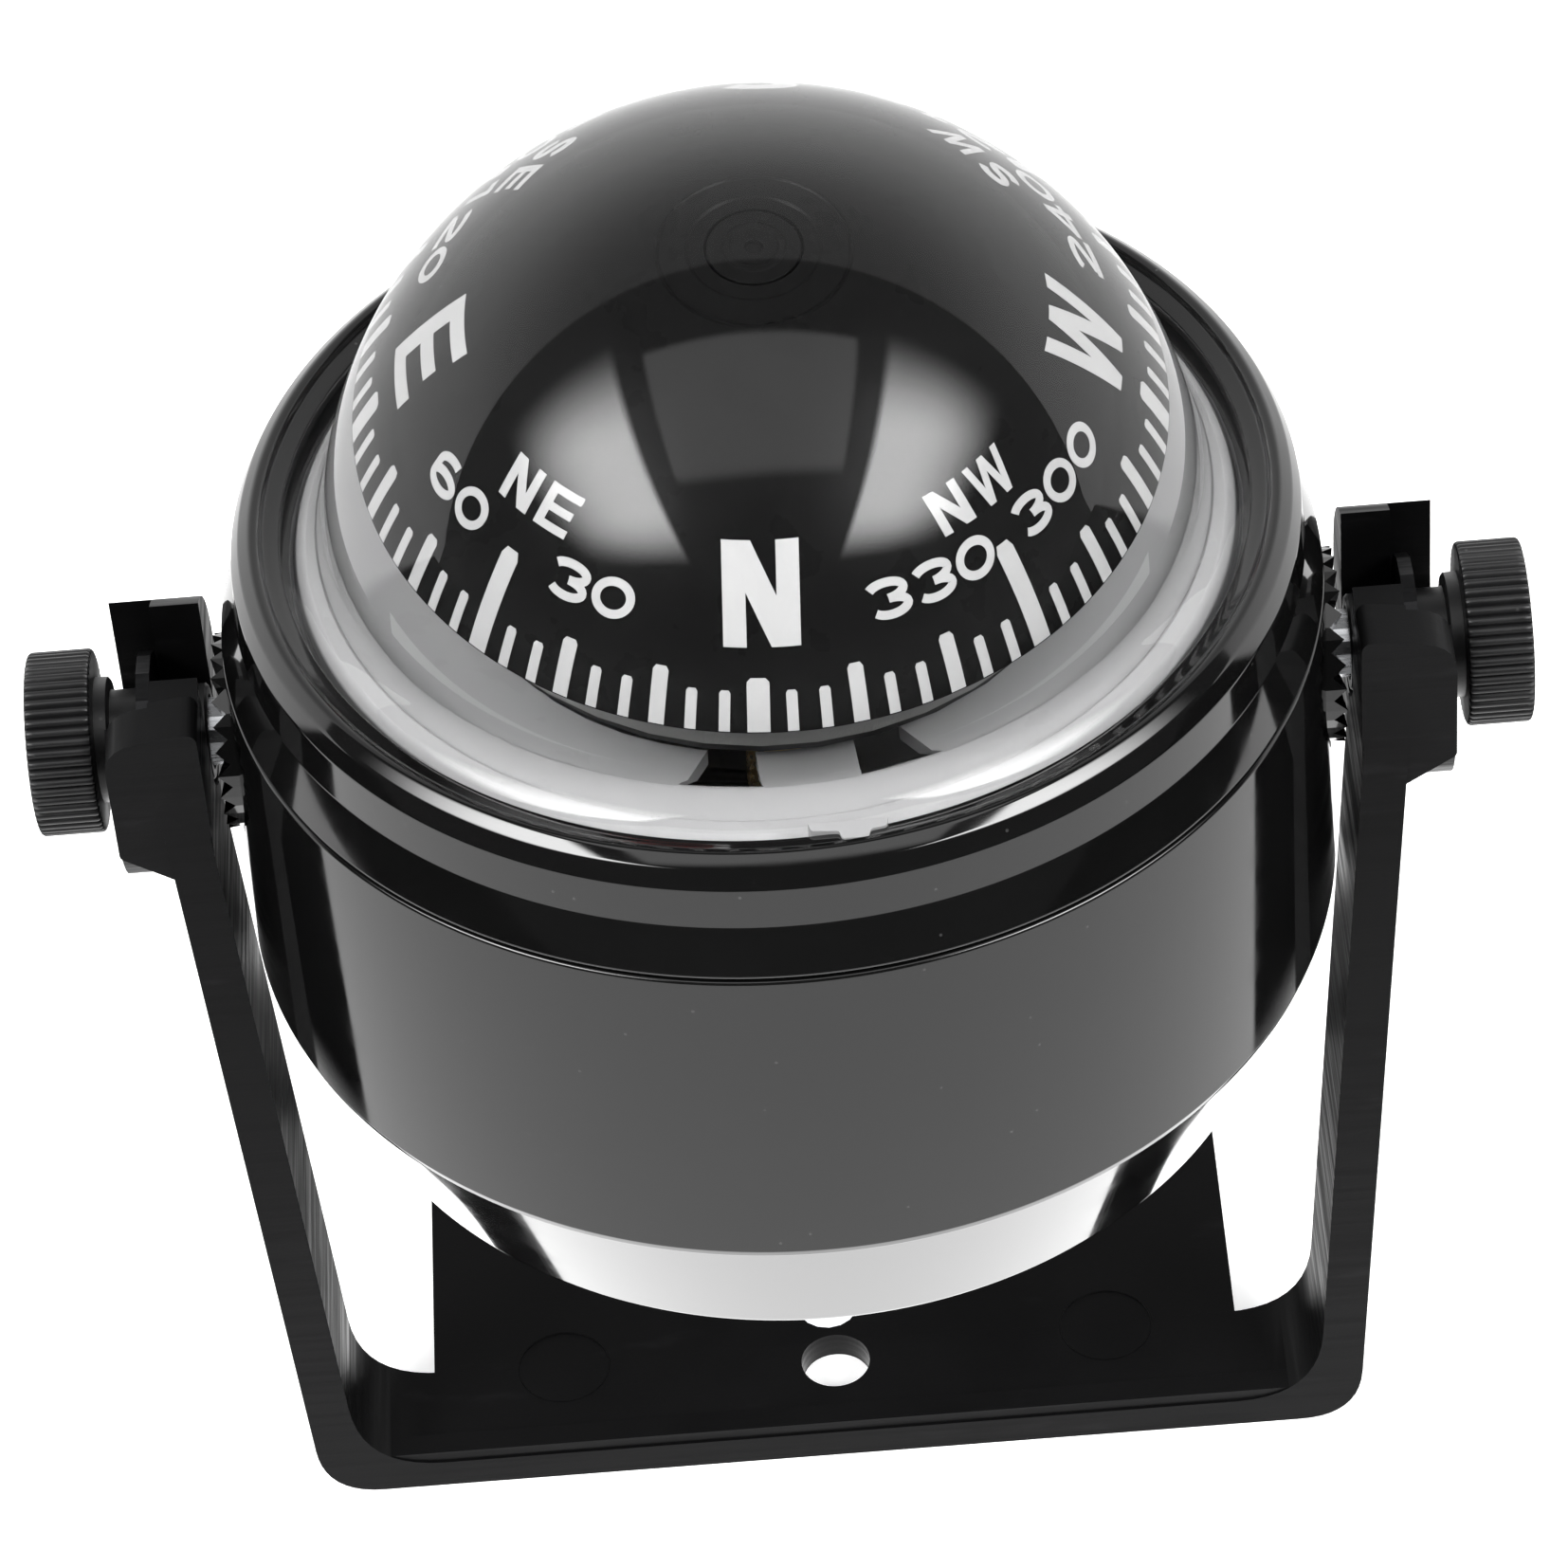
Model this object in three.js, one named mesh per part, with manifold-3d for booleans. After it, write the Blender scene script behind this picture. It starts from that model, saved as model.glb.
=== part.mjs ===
// A ball compass on a trunnion bracket, in millimetres.
// +Z is up and the reader looks along +Y. The origin is on the table, straight below the tilt axis.
import * as THREE from "three";
import { mergeVertices } from "three/addons/utils/BufferGeometryUtils.js";
import Module from "manifold-3d";

const wasm = await Module();
wasm.setup();

// Driving dimensions. Heights marked "from the axis" are measured from the tilt axis.
const GAP = 0.3; // clearance that every touching pair keeps
const ROUND = 40; // sides of a large round piece
const SMALL_ROUND = 16; // sides of a small round piece

const PIVOT_HEIGHT = 67.2;
const KNOB_SPAN = 110; // overall, over both knobs

const BASE = {
  thickness: 2.4,
  lipHeight: 3.4,
  lipWidth: 1.9,
  front: -16.7,
  barDepth: 9.4,
  tongueHalfWidth: 31.8,
  footFront: 25,
  footBack: 40,
  footHalfFront: 38,
  footHalfBack: 44,
  footCorner: 4,
  holeRadius: 2.7,
  frontHoleY: -9,
  footHoleX: 24,
  footHoleY: 33,
};

const ARM = {
  outerAtBase: 40.9,
  flare: 0.07, // sideways spread for each mm of height
  lean: 0.0925, // backward lean for each mm of height
  thickness: 3.3,
  outerCorner: 5,
  innerCorner: 7,
};

const BOSS = {
  inner: 41.9,
  outer: 48.8,
  radius: 10,
  faceRadius: 10.9, // round top of the flat front block
  face: 10.5, // how far that block stands in front of the axis
  recessFloor: 45.5,
  recessHalfWidth: 6.8,
  slotHalfWidth: 4,
  chamferTop: -2.2,
  chamferBottom: -5.2,
};

const CASE = {
  topRadius: 40.1,
  top: 9.9,
  edgeRadius: 40.7,
  edge: -16.9,
  taperRadius: 35.6,
  taperEnd: -30,
  bottomRadius: 33,
  bottom: -32.5,
  wall: 2.2,
  mouthRadius: 29,
  pocketRadius: 7.6,
  pocketFloor: 38.2,
  insertBossRadius: 6.4,
  insertBossInner: 30.5,
};

const SPHERE_HEIGHT = 15.8; // centre of the dome, from the axis
const DOME = { radius: 32, wall: 2, flangeRadius: 36, flangeBottom: 15.4, flangeTop: 17.4, seat: 16.9 };
const BEZEL = {
  lipRadius: 34.9,
  lipTop: 18.7,
  crestRadius: 37,
  crest: 19.4,
  wallRadius: 38.6,
  wallTop: 17.4,
  wallBottom: 14,
  skirt: 10.2,
  skirtRadius: 40.1,
};
const BOWL = {
  radius: 31,
  centre: 17.2,
  wall: 1.5,
  flangeRadius: 36,
  flangeTop: 13.9,
  flangeBottom: 11.9,
  mouthRadius: 14,
};
const RING = { outer: 33.6, inner: 24.2, bottom: 14.2, top: 15.1, lipTop: 16.6, lipInner: 29.6 };
const BAFFLE = {
  outer: 28.3,
  inner: 15,
  bottom: 11.2,
  top: 12.2,
  notchReach: 20,
  notchBearings: [-101, -69, 79, 111],
};

// The card floats on its needle, so it lies a little out of level. Angles are in degrees.
const CARD = { radius: 27.5, wall: 0.8, rimAngle: 19, hubHole: 3.4, dip: 7, heel: 2, heading: -3.2 };
const STUD = { radius: 2.5, inner: 31 };
const INSERT_RADIUS = 4;
const KNOB = { radius: 6.8, inner: 50.2, ribs: 26, ribDepth: 0.35, collarRadius: 4.65, neckRadius: 3.6 };
const ROSETTE = { inner: 3.4, outer: 7.2, floor: 38.5, root: 40.2, tip: 41.2, teeth: 24 };

// Finishes, each as colour, roughness and metalness.
const FINISH = {
  satinBlack: [0x161617, 0.55, 0],
  glossBlack: [0x0b0b0c, 0.12, 0],
  clear: [0xf4f7f8, 0.03, 0],
  pale: [0xd2d4d4, 0.35, 0],
  card: [0x101011, 0.4, 0],
  steel: [0xb9bcc0, 0.3, 1],
  brass: [0xb99a53, 0.35, 1],
  rubber: [0x1d1d1e, 0.85, 0],
  magnet: [0x5a5c60, 0.4, 1],
  jewel: [0x9c2a3c, 0.1, 0],
  red: [0xc2362c, 0.4, 0],
  foam: [0xe6e3da, 0.8, 0],
};

// ---- geometry helpers ------------------------------------------------------

function solid(geometry) {
  const bare = geometry.clone();
  bare.deleteAttribute("normal");
  bare.deleteAttribute("uv");
  const merged = mergeVertices(bare, 1e-4);
  const vertProperties = new Float32Array(merged.attributes.position.array);
  const triVerts = new Uint32Array(merged.index.array);
  return new wasm.Manifold(new wasm.Mesh({ numProp: 3, vertProperties, triVerts }));
}

function geometryOf(manifold) {
  const mesh = manifold.getMesh();
  const geometry = new THREE.BufferGeometry();
  geometry.setAttribute("position", new THREE.BufferAttribute(new Float32Array(mesh.vertProperties), 3));
  geometry.setIndex(new THREE.BufferAttribute(new Uint32Array(mesh.triVerts), 1));
  geometry.computeVertexNormals();
  return geometry;
}

function join(...geometries) {
  return geometryOf(geometries.map(solid).reduce((sum, next) => sum.add(next)));
}

function cut(body, ...tools) {
  return geometryOf(tools.map(solid).reduce((left, tool) => left.subtract(tool), solid(body)));
}

function common(first, second) {
  return geometryOf(solid(first).intersect(solid(second)));
}

// A closed [radius, height] outline turned about Z. The outline may run either way round.
function turned(outline, sides = ROUND) {
  const points = outline.map(([radius, height]) => new THREE.Vector2(radius, height));
  if (THREE.ShapeUtils.area(points) < 0) points.reverse();
  points.push(points[0].clone());
  return new THREE.LatheGeometry(points, sides).rotateX(Math.PI / 2);
}

// An outline that starts and ends on the axis, turned about Z.
function spun(outline, sides = SMALL_ROUND) {
  const points = outline.map(([radius, height]) => new THREE.Vector2(radius, height));
  if (THREE.ShapeUtils.area(points) < 0) points.reverse();
  return new THREE.LatheGeometry(points, sides).rotateX(Math.PI / 2);
}

// Points of an arc about a centre on the axis, from one elevation to another, in degrees.
function arc(radius, centreHeight, from, to, steps) {
  return Array.from({ length: steps + 1 }, (_, i) => {
    const angle = THREE.MathUtils.degToRad(from + ((to - from) * i) / steps);
    return [radius * Math.cos(angle), centreHeight + radius * Math.sin(angle)];
  });
}

// Angle above the horizontal, on a sphere, of the ring that stands this far from its axis.
function elevation(radius, reach) {
  return THREE.MathUtils.radToDeg(Math.acos(reach / radius));
}

// Angle below the horizontal, on a sphere, of the ring that lies this far under its centre.
function depression(radius, drop) {
  return THREE.MathUtils.radToDeg(Math.asin(drop / radius));
}

// A cylinder along Z between two heights.
function upright(radius, low, high, sides = SMALL_ROUND) {
  return new THREE.CylinderGeometry(radius, radius, high - low, sides)
    .rotateX(Math.PI / 2)
    .translate(0, 0, (low + high) / 2);
}

// A cylinder along X between two places, on the tilt axis of its own group.
function across(radius, from, to, sides = SMALL_ROUND) {
  return new THREE.CylinderGeometry(radius, radius, to - from, sides)
    .rotateZ(Math.PI / 2)
    .translate((from + to) / 2, 0, 0);
}

function pipe(outer, inner, low, high, sides = SMALL_ROUND) {
  return turned([[inner, low], [outer, low], [outer, high], [inner, high]], sides);
}

// Stands a piece that was turned about Z along the +X axis.
function alongX(geometry) {
  return geometry.rotateY(Math.PI / 2);
}

function block(low, high) {
  const size = high.map((value, i) => value - low[i]);
  return new THREE.BoxGeometry(...size).translate(...low.map((value, i) => value + size[i] / 2));
}

// A front-view (X, Z) outline, pulled along Y from one place to another.
function pulled(shape, from, to, curveSegments = 6) {
  const settings = { depth: to - from, bevelEnabled: false, curveSegments };
  const geometry = new THREE.ExtrudeGeometry(shape, settings);
  return geometry.rotateX(Math.PI / 2).translate(0, to, 0);
}

// A plan (X, Y) outline, pulled along Z.
function raised(shape, low, high, curveSegments = 6) {
  const settings = { depth: high - low, bevelEnabled: false, curveSegments };
  const geometry = new THREE.ExtrudeGeometry(shape, settings);
  return geometry.translate(0, 0, low);
}

// A polygon whose corners are rounded, each corner being [x, y, radius].
function rounded(corners) {
  const shape = new THREE.Shape();
  corners.forEach(([x, y, radius], i) => {
    const here = new THREE.Vector2(x, y);
    const before = corners[(i + corners.length - 1) % corners.length];
    const after = corners[(i + 1) % corners.length];
    const entry = here.clone().add(new THREE.Vector2(before[0] - x, before[1] - y).setLength(radius));
    const exit = here.clone().add(new THREE.Vector2(after[0] - x, after[1] - y).setLength(radius));
    if (i === 0) shape.moveTo(entry.x, entry.y);
    else shape.lineTo(entry.x, entry.y);
    if (radius > 0) shape.quadraticCurveTo(x, y, exit.x, exit.y);
  });
  shape.closePath();
  return shape;
}

function mirroredX(geometry) {
  const mirrored = geometry.index ? geometry.toNonIndexed() : geometry.clone();
  mirrored.scale(-1, 1, 1);
  const { array } = mirrored.attributes.position;
  for (let i = 0; i < array.length; i += 9) {
    const second = array.slice(i + 3, i + 6);
    array.copyWithin(i + 3, i + 6, i + 9);
    array.set(second, i + 6);
  }
  return mirrored;
}

function piece(name, geometry, finish) {
  const [color, roughness, metalness] = FINISH[finish];
  const mesh = new THREE.Mesh(geometry, new THREE.MeshStandardMaterial({ color, roughness, metalness }));
  mesh.name = name;
  return mesh;
}

// ---- bracket ---------------------------------------------------------------

// Outer face of an arm at a height above the table.
function armOuter(height) {
  return ARM.outerAtBase + ARM.flare * (height - BASE.lipHeight);
}

// The front bar and both arms, as one U seen from the front.
function strap() {
  const top = PIVOT_HEIGHT;
  const inner = (height) => armOuter(height) - ARM.thickness;
  const outline = rounded([
    [-armOuter(0), 0, ARM.outerCorner],
    [armOuter(0), 0, ARM.outerCorner],
    [armOuter(top), top, 0],
    [inner(top), top, 0],
    [inner(BASE.thickness), BASE.thickness, ARM.innerCorner],
    [-inner(BASE.thickness), BASE.thickness, ARM.innerCorner],
    [-inner(top), top, 0],
    [-armOuter(top), top, 0],
  ]);
  const geometry = pulled(outline, BASE.front, BASE.front + BASE.barDepth);
  const { array } = geometry.attributes.position;
  for (let i = 0; i < array.length; i += 3) array[i + 1] += ARM.lean * array[i + 2];
  return geometry;
}

function baseLip() {
  const halfWidth = ARM.outerAtBase - ARM.outerCorner;
  const front = BASE.front + ARM.lean * BASE.lipHeight + 0.1;
  return block([-halfWidth, front, 1], [halfWidth, front + BASE.lipWidth, BASE.lipHeight]);
}

// The tongue under the case and the wider foot behind it, in plan.
function tongueAndFoot() {
  const half = BASE.tongueHalfWidth;
  const tongue = block([-half, BASE.front + 1, 0], [half, BASE.footFront + 1, BASE.thickness]);
  const footOutline = (inset) =>
    rounded([
      [-BASE.footHalfFront + inset, BASE.footFront + inset, BASE.footCorner],
      [BASE.footHalfFront - inset, BASE.footFront + inset, BASE.footCorner],
      [BASE.footHalfBack - inset, BASE.footBack - inset, BASE.footCorner],
      [-BASE.footHalfBack + inset, BASE.footBack - inset, BASE.footCorner],
    ]);
  const foot = raised(footOutline(0), 0, BASE.lipHeight);
  const tray = raised(footOutline(BASE.lipWidth), BASE.thickness, BASE.lipHeight + 1);
  const gateway = block(
    [-half + 3, BASE.footFront - 1, BASE.thickness],
    [half - 3, BASE.footFront + BASE.lipWidth + 1, BASE.lipHeight + 1],
  );
  return join(tongue, cut(foot, tray, gateway));
}

function screwHoles() {
  const places = [
    [0, BASE.frontHoleY],
    [-BASE.footHoleX, BASE.footHoleY],
    [BASE.footHoleX, BASE.footHoleY],
  ];
  return places.map(([x, y]) => upright(BASE.holeRadius, -1, BASE.lipHeight + 1).translate(x, y, 0));
}

// The right-hand round boss with its flat front block, before the slot is cut. Heights are from the axis.
function bossBody() {
  const insideArm = armOuter(PIVOT_HEIGHT + BOSS.chamferBottom) - 0.6;
  const slope = (BOSS.chamferTop - BOSS.chamferBottom) / (BOSS.outer - insideArm - 0.6);
  const frontOutline = rounded([
    [BOSS.inner, -BOSS.faceRadius, 0],
    [insideArm, -BOSS.faceRadius, 0],
    [insideArm, BOSS.chamferBottom - 0.6 * slope, 0],
    [BOSS.outer, BOSS.chamferTop, 0],
    [BOSS.outer, BOSS.faceRadius, 0],
    [BOSS.inner, BOSS.faceRadius, 0],
  ]);
  const frontBlock = common(
    pulled(frontOutline, -BOSS.face, -BOSS.recessHalfWidth),
    across(BOSS.faceRadius, BOSS.inner - 1, BOSS.outer + 1, ROUND),
  );
  return join(across(BOSS.radius, BOSS.inner, BOSS.outer, ROUND), frontBlock);
}

// An open-topped slot with a round floor, along X between two places.
function openSlot(halfWidth, from, to) {
  const above = BOSS.faceRadius + 2;
  return join(across(halfWidth, from, to), block([from, -halfWidth, 0], [to, halfWidth, above]));
}

function boss() {
  const slot = openSlot(BOSS.slotHalfWidth, BOSS.inner - 1, BOSS.outer + 1);
  const recess = openSlot(BOSS.recessHalfWidth, BOSS.recessFloor, BOSS.outer + 1);
  return cut(bossBody(), slot, recess).translate(0, 0, PIVOT_HEIGHT);
}

function bracket() {
  const slot = openSlot(BOSS.slotHalfWidth, BOSS.inner - 3, BOSS.outer + 1);
  const clearAxis = slot.translate(0, 0, PIVOT_HEIGHT);
  const arms = cut(strap(), clearAxis, mirroredX(clearAxis));
  const body = join(arms, baseLip(), tongueAndFoot(), boss(), mirroredX(boss()));
  return piece("bracket", cut(body, ...screwHoles()), "satinBlack");
}

// ---- case and bezel, with heights from the axis ----------------------------

function caseShell() {
  const { wall } = CASE;
  const outside = [
    [CASE.mouthRadius, CASE.bottom],
    [CASE.bottomRadius, CASE.bottom],
    [CASE.taperRadius, CASE.taperEnd],
    [CASE.edgeRadius - 0.4, CASE.edge - 0.5],
    [CASE.edgeRadius, CASE.edge],
    [CASE.topRadius, CASE.top],
  ];
  const inside = [
    [CASE.topRadius - wall, CASE.top],
    [CASE.edgeRadius - wall, CASE.edge],
    [CASE.taperRadius - wall, CASE.taperEnd + wall],
    [CASE.mouthRadius, CASE.taperEnd + wall],
  ];
  const insertBoss = across(CASE.insertBossRadius, CASE.insertBossInner, CASE.topRadius - wall / 2);
  const pocketWall = across(CASE.pocketRadius + wall, CASE.pocketFloor - wall, CASE.topRadius - wall / 2);
  const shell = join(turned([...outside, ...inside]), ...bothSides(insertBoss), ...bothSides(pocketWall));
  const pocket = across(CASE.pocketRadius, CASE.pocketFloor, CASE.topRadius + 2);
  const insertHole = across(INSERT_RADIUS + GAP, CASE.insertBossInner - 1, CASE.topRadius + 2);
  const northSouthHole = compensatorPath("ns", CASE.edgeRadius + 2);
  const eastWestHole = compensatorPath("ew", CASE.edgeRadius + 2);
  const cutters = [...bothSides(pocket), ...bothSides(insertHole), northSouthHole, eastWestHole];
  return piece("case_shell", cut(shell, ...cutters, ...bottomScrewHoles()), "glossBlack");
}

function bothSides(geometry) {
  return [geometry, mirroredX(geometry)];
}

function bezelRing() {
  const outline = [
    [BEZEL.skirtRadius - 2.2, BEZEL.skirt],
    [BEZEL.skirtRadius, BEZEL.skirt],
    [BEZEL.wallRadius, BEZEL.wallBottom],
    [BEZEL.wallRadius - 0.1, BEZEL.wallTop],
    [BEZEL.crestRadius + 0.9, BEZEL.crest - 0.8],
    [BEZEL.crestRadius, BEZEL.crest],
    [BEZEL.crestRadius - 0.6, BEZEL.crest - 0.1],
    [BEZEL.crestRadius - 1.1, BEZEL.lipTop],
    [BEZEL.lipRadius, BEZEL.lipTop - 0.3],
    [BEZEL.lipRadius, DOME.flangeTop + GAP],
    [DOME.flangeRadius + GAP, DOME.flangeTop + GAP],
    [DOME.flangeRadius + GAP, BEZEL.skirt + 1],
    [BEZEL.skirtRadius - 2.2, BEZEL.skirt + 1],
  ];
  return piece("bezel_ring", turned(outline), "glossBlack");
}

// ---- bowl, dome and what sits between them ---------------------------------

function dome() {
  const inner = DOME.radius - DOME.wall;
  const outline = [
    [0, SPHERE_HEIGHT + inner],
    ...arc(inner, SPHERE_HEIGHT, 78, 10, 6),
    [inner, DOME.seat + GAP],
    [RING.outer + GAP, DOME.seat],
    [RING.outer + GAP, DOME.flangeBottom],
    [DOME.flangeRadius, DOME.flangeBottom],
    [DOME.flangeRadius, DOME.flangeTop],
    [BEZEL.lipRadius - GAP, DOME.flangeTop],
    [BEZEL.lipRadius - 0.9, DOME.flangeTop + 1.2],
    ...arc(DOME.radius, SPHERE_HEIGHT, 10, 80, 7),
    [0, SPHERE_HEIGHT + DOME.radius],
  ];
  return piece("dome", spun(outline, ROUND), "clear");
}

function domeGasket() {
  const inner = RING.outer + 2 * GAP;
  const ring = pipe(DOME.flangeRadius, inner, BOWL.flangeTop + GAP, DOME.flangeBottom - GAP, ROUND);
  return piece("dome_gasket", ring, "rubber");
}

// The pale ring under the dome's flange.
function innerRing() {
  const outline = [
    [RING.inner, RING.bottom],
    [RING.outer, RING.bottom],
    [RING.outer, RING.top + 1.2],
    [RING.outer - 1.2, RING.lipTop],
    [RING.lipInner + 1, RING.lipTop - 0.3],
    [RING.lipInner, RING.top],
    [RING.inner, RING.top - 0.2],
  ];
  const postHole = atLubber(upright(LUBBER.radius + 2 * GAP, RING.bottom - 1, RING.lipTop, 12));
  return piece("inner_ring", cut(turned(outline), postHole), "pale");
}

// A flat plate that stops the liquid swirling. Its opening has four notches that widen outwards.
function bafflePlate() {
  const plate = pipe(BAFFLE.outer, BAFFLE.inner, BAFFLE.bottom, BAFFLE.top, ROUND);
  const notchShape = new THREE.Shape([
    new THREE.Vector2(BAFFLE.inner - 2, -0.9),
    new THREE.Vector2(BAFFLE.notchReach, -2.6),
    new THREE.Vector2(BAFFLE.notchReach, 2.6),
    new THREE.Vector2(BAFFLE.inner - 2, 0.9),
  ]);
  const notches = BAFFLE.notchBearings.map((bearing) =>
    raised(notchShape, BAFFLE.bottom - 1, BAFFLE.top + 1).rotateZ(THREE.MathUtils.degToRad(bearing)),
  );
  return piece("baffle_plate", cut(plate, ...notches), "pale");
}

function bowl() {
  const inner = BOWL.radius - BOWL.wall;
  const outerStart = -depression(BOWL.radius, BOWL.centre - BOWL.flangeBottom);
  const innerStart = -depression(inner, BOWL.centre - BOWL.flangeTop);
  const outerEnd = -elevation(BOWL.radius, BOWL.mouthRadius);
  const innerEnd = -elevation(inner, BOWL.mouthRadius);
  const outline = [
    [BOWL.flangeRadius, BOWL.flangeTop],
    [BOWL.flangeRadius, BOWL.flangeBottom],
    ...arc(BOWL.radius, BOWL.centre, outerStart, outerEnd, 4),
    ...arc(inner, BOWL.centre, innerEnd, innerStart, 4),
  ];
  return piece("bowl", turned(outline), "pale");
}

const BOWL_FLOOR = BOWL.centre - Math.sqrt(BOWL.radius ** 2 - BOWL.mouthRadius ** 2);

function diaphragm() {
  const top = BOWL_FLOOR - GAP;
  const outline = [
    [0, top - 1.2],
    [5, top - 1.2],
    [7, top - 2.6],
    [9, top - 2.6],
    [10.5, top],
    [15.5, top],
    [15.5, top - 1],
    [10, top - 1],
    [9.2, top - 3.6],
    [6.8, top - 3.6],
    [4.8, top - 2.2],
    [0, top - 2.2],
  ];
  return piece("expansion_diaphragm", spun(outline, 32), "rubber");
}

function diaphragmRing() {
  const top = BOWL_FLOOR - 1 - 2 * GAP;
  return piece("diaphragm_ring", pipe(17, 11.5, top - 1.6, top, 32), "satinBlack");
}

// ---- pivot and card --------------------------------------------------------

const POST_FOOT = BOWL_FLOOR + 2.2;
const NEEDLE_TIP = SPHERE_HEIGHT + 4;
const POST_RADIUS = 1.8;
const NEEDLE_RADIUS = 0.6;

// A ring that rests in the bowl's mouth, with three arms that carry the post.
function pivotSpider() {
  const low = BOWL_FLOOR + GAP;
  const high = POST_FOOT - GAP;
  const rim = pipe(13.4, 11.4, low, high, 32);
  const arm = (turn) => block([0, -1.2, low], [12.2, 1.2, high]).rotateZ((turn * 2 * Math.PI) / 3);
  const socket = upright(4, low, high + 4);
  const body = join(rim, arm(0), arm(1), arm(2), socket);
  return piece("pivot_spider", cut(body, upright(POST_RADIUS + GAP, low + 1, high + 6)), "satinBlack");
}

function pivotPost() {
  const low = BOWL_FLOOR + 1 + 2 * GAP;
  const body = upright(POST_RADIUS, low, SPHERE_HEIGHT - 3);
  const bore = upright(NEEDLE_RADIUS + GAP, SPHERE_HEIGHT - 7, SPHERE_HEIGHT);
  return piece("pivot_post", cut(body, bore), "brass");
}

function pivotNeedle() {
  const outline = [
    [0, SPHERE_HEIGHT - 6.6],
    [NEEDLE_RADIUS, SPHERE_HEIGHT - 6.6],
    [NEEDLE_RADIUS, NEEDLE_TIP - 2],
    [0.1, NEEDLE_TIP],
    [0, NEEDLE_TIP],
  ];
  return piece("pivot_needle", spun(outline, 12), "steel");
}

// The domed card: a cap about the dome's centre, open in the middle for its hub.
function compassCard() {
  const inner = CARD.radius - CARD.wall;
  const outline = [
    ...arc(CARD.radius, SPHERE_HEIGHT, CARD.rimAngle, elevation(CARD.radius, CARD.hubHole), 7),
    ...arc(inner, SPHERE_HEIGHT, elevation(inner, CARD.hubHole), CARD.rimAngle, 7),
  ];
  return piece("compass_card", turned(outline), "card");
}

const HUB_TOP = SPHERE_HEIGHT + CARD.radius + 0.4;

// The hub hangs from the card's middle and holds the jewel cup over the needle.
function cardHub() {
  const cupFloor = NEEDLE_TIP - 1.4;
  const cardInside = SPHERE_HEIGHT + CARD.radius - CARD.wall - GAP;
  const outline = [
    [0, HUB_TOP],
    [2, HUB_TOP],
    [CARD.hubHole - GAP, HUB_TOP - 0.4],
    [CARD.hubHole - GAP, cardInside - 0.9],
    [6, cardInside - 1.6],
    [6, cardInside - 2.4],
    [2.6, cardInside - 3],
    [2.6, cupFloor],
    [1.6, cupFloor],
    [1.6, NEEDLE_TIP + 2.4],
    [0, NEEDLE_TIP + 2.4],
  ];
  return piece("card_hub", spun(outline, 32), "glossBlack");
}

function jewelCup() {
  const top = NEEDLE_TIP + 2.4 - GAP;
  const outline = [
    [0, top],
    [1.6 - GAP, top],
    [1.6 - GAP, NEEDLE_TIP - 0.6],
    [0.9, NEEDLE_TIP - 0.6],
    [0.4, NEEDLE_TIP + GAP],
    [0, NEEDLE_TIP + GAP],
  ];
  return piece("jewel_cup", spun(outline, 16), "jewel");
}

const YOKE_TOP = SPHERE_HEIGHT + 1.6;

// A three-armed spider under the hub that joins the float ring and carries the magnets.
function magnetYoke() {
  const low = YOKE_TOP - 1.2;
  const bearing = (turn) => (turn * 2 * Math.PI) / 3 + Math.PI / 2;
  const arm = (turn) => block([3, -1, low], [17.2, 1, YOKE_TOP]).rotateZ(bearing(turn));
  const rim = pipe(18.2, 16.6, low, YOKE_TOP, 32);
  const hub = pipe(5, 2.2, low, YOKE_TOP);
  return piece("magnet_yoke", join(rim, hub, arm(0), arm(1), arm(2)), "satinBlack");
}

function cardFloat() {
  const low = YOKE_TOP + GAP;
  const outline = [
    [16.2, low],
    [19.4, low],
    [19.6, low + 2.4],
    [18.4, low + 4.6],
    [16.2, low + 4.6],
  ];
  return piece("card_float", turned(outline, 36), "foam");
}

function cardMagnet(name, side) {
  const top = YOKE_TOP - 1.2 - GAP;
  const bar = block([side * 8 - 1.5, -9, top - 2.4], [side * 8 + 1.5, 9, top]);
  return piece(name, bar, "magnet");
}

// The red mark stands in the liquid between the card's rim and the dome, on the far side.
const LUBBER = {
  angle: 94,
  reach: 26.8,
  radius: 0.6,
  footRadius: 1.8,
  foot: 12.4,
  footTop: 13.9,
  top: 25.2,
};

function atLubber(geometry) {
  const angle = THREE.MathUtils.degToRad(LUBBER.angle);
  return geometry.translate(LUBBER.reach * Math.cos(angle), LUBBER.reach * Math.sin(angle), 0);
}

function lubberPost() {
  const post = upright(LUBBER.radius, LUBBER.footTop - 0.2, LUBBER.top, 12);
  const foot = upright(LUBBER.footRadius, LUBBER.foot, LUBBER.footTop, 12);
  return piece("lubber_post", atLubber(join(post, foot)), "red");
}

// ---- case bottom and compensators ------------------------------------------

const SCREW_CIRCLE = 30.6;
const SCREW = { radius: 1.25, headRadius: 2.2, headDepth: 1.3, slotDepth: 0.7 };
const PLATE = { rimRadius: 32, thickness: 1.4, recess: 0.4 };
const SCREW_TURNS = [0, 1, 2].map((i) => ((i * 2 + 0.5) * Math.PI) / 3);

function onScrewCircle(geometry, turn) {
  return geometry.translate(SCREW_CIRCLE * Math.cos(turn), SCREW_CIRCLE * Math.sin(turn), 0);
}

function screwBores(low, high) {
  return SCREW_TURNS.map((turn) => onScrewCircle(upright(SCREW.radius + GAP, low, high, 12), turn));
}

function bottomScrewHoles() {
  return screwBores(CASE.bottom - 1, CASE.taperEnd + CASE.wall + 1);
}

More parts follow.
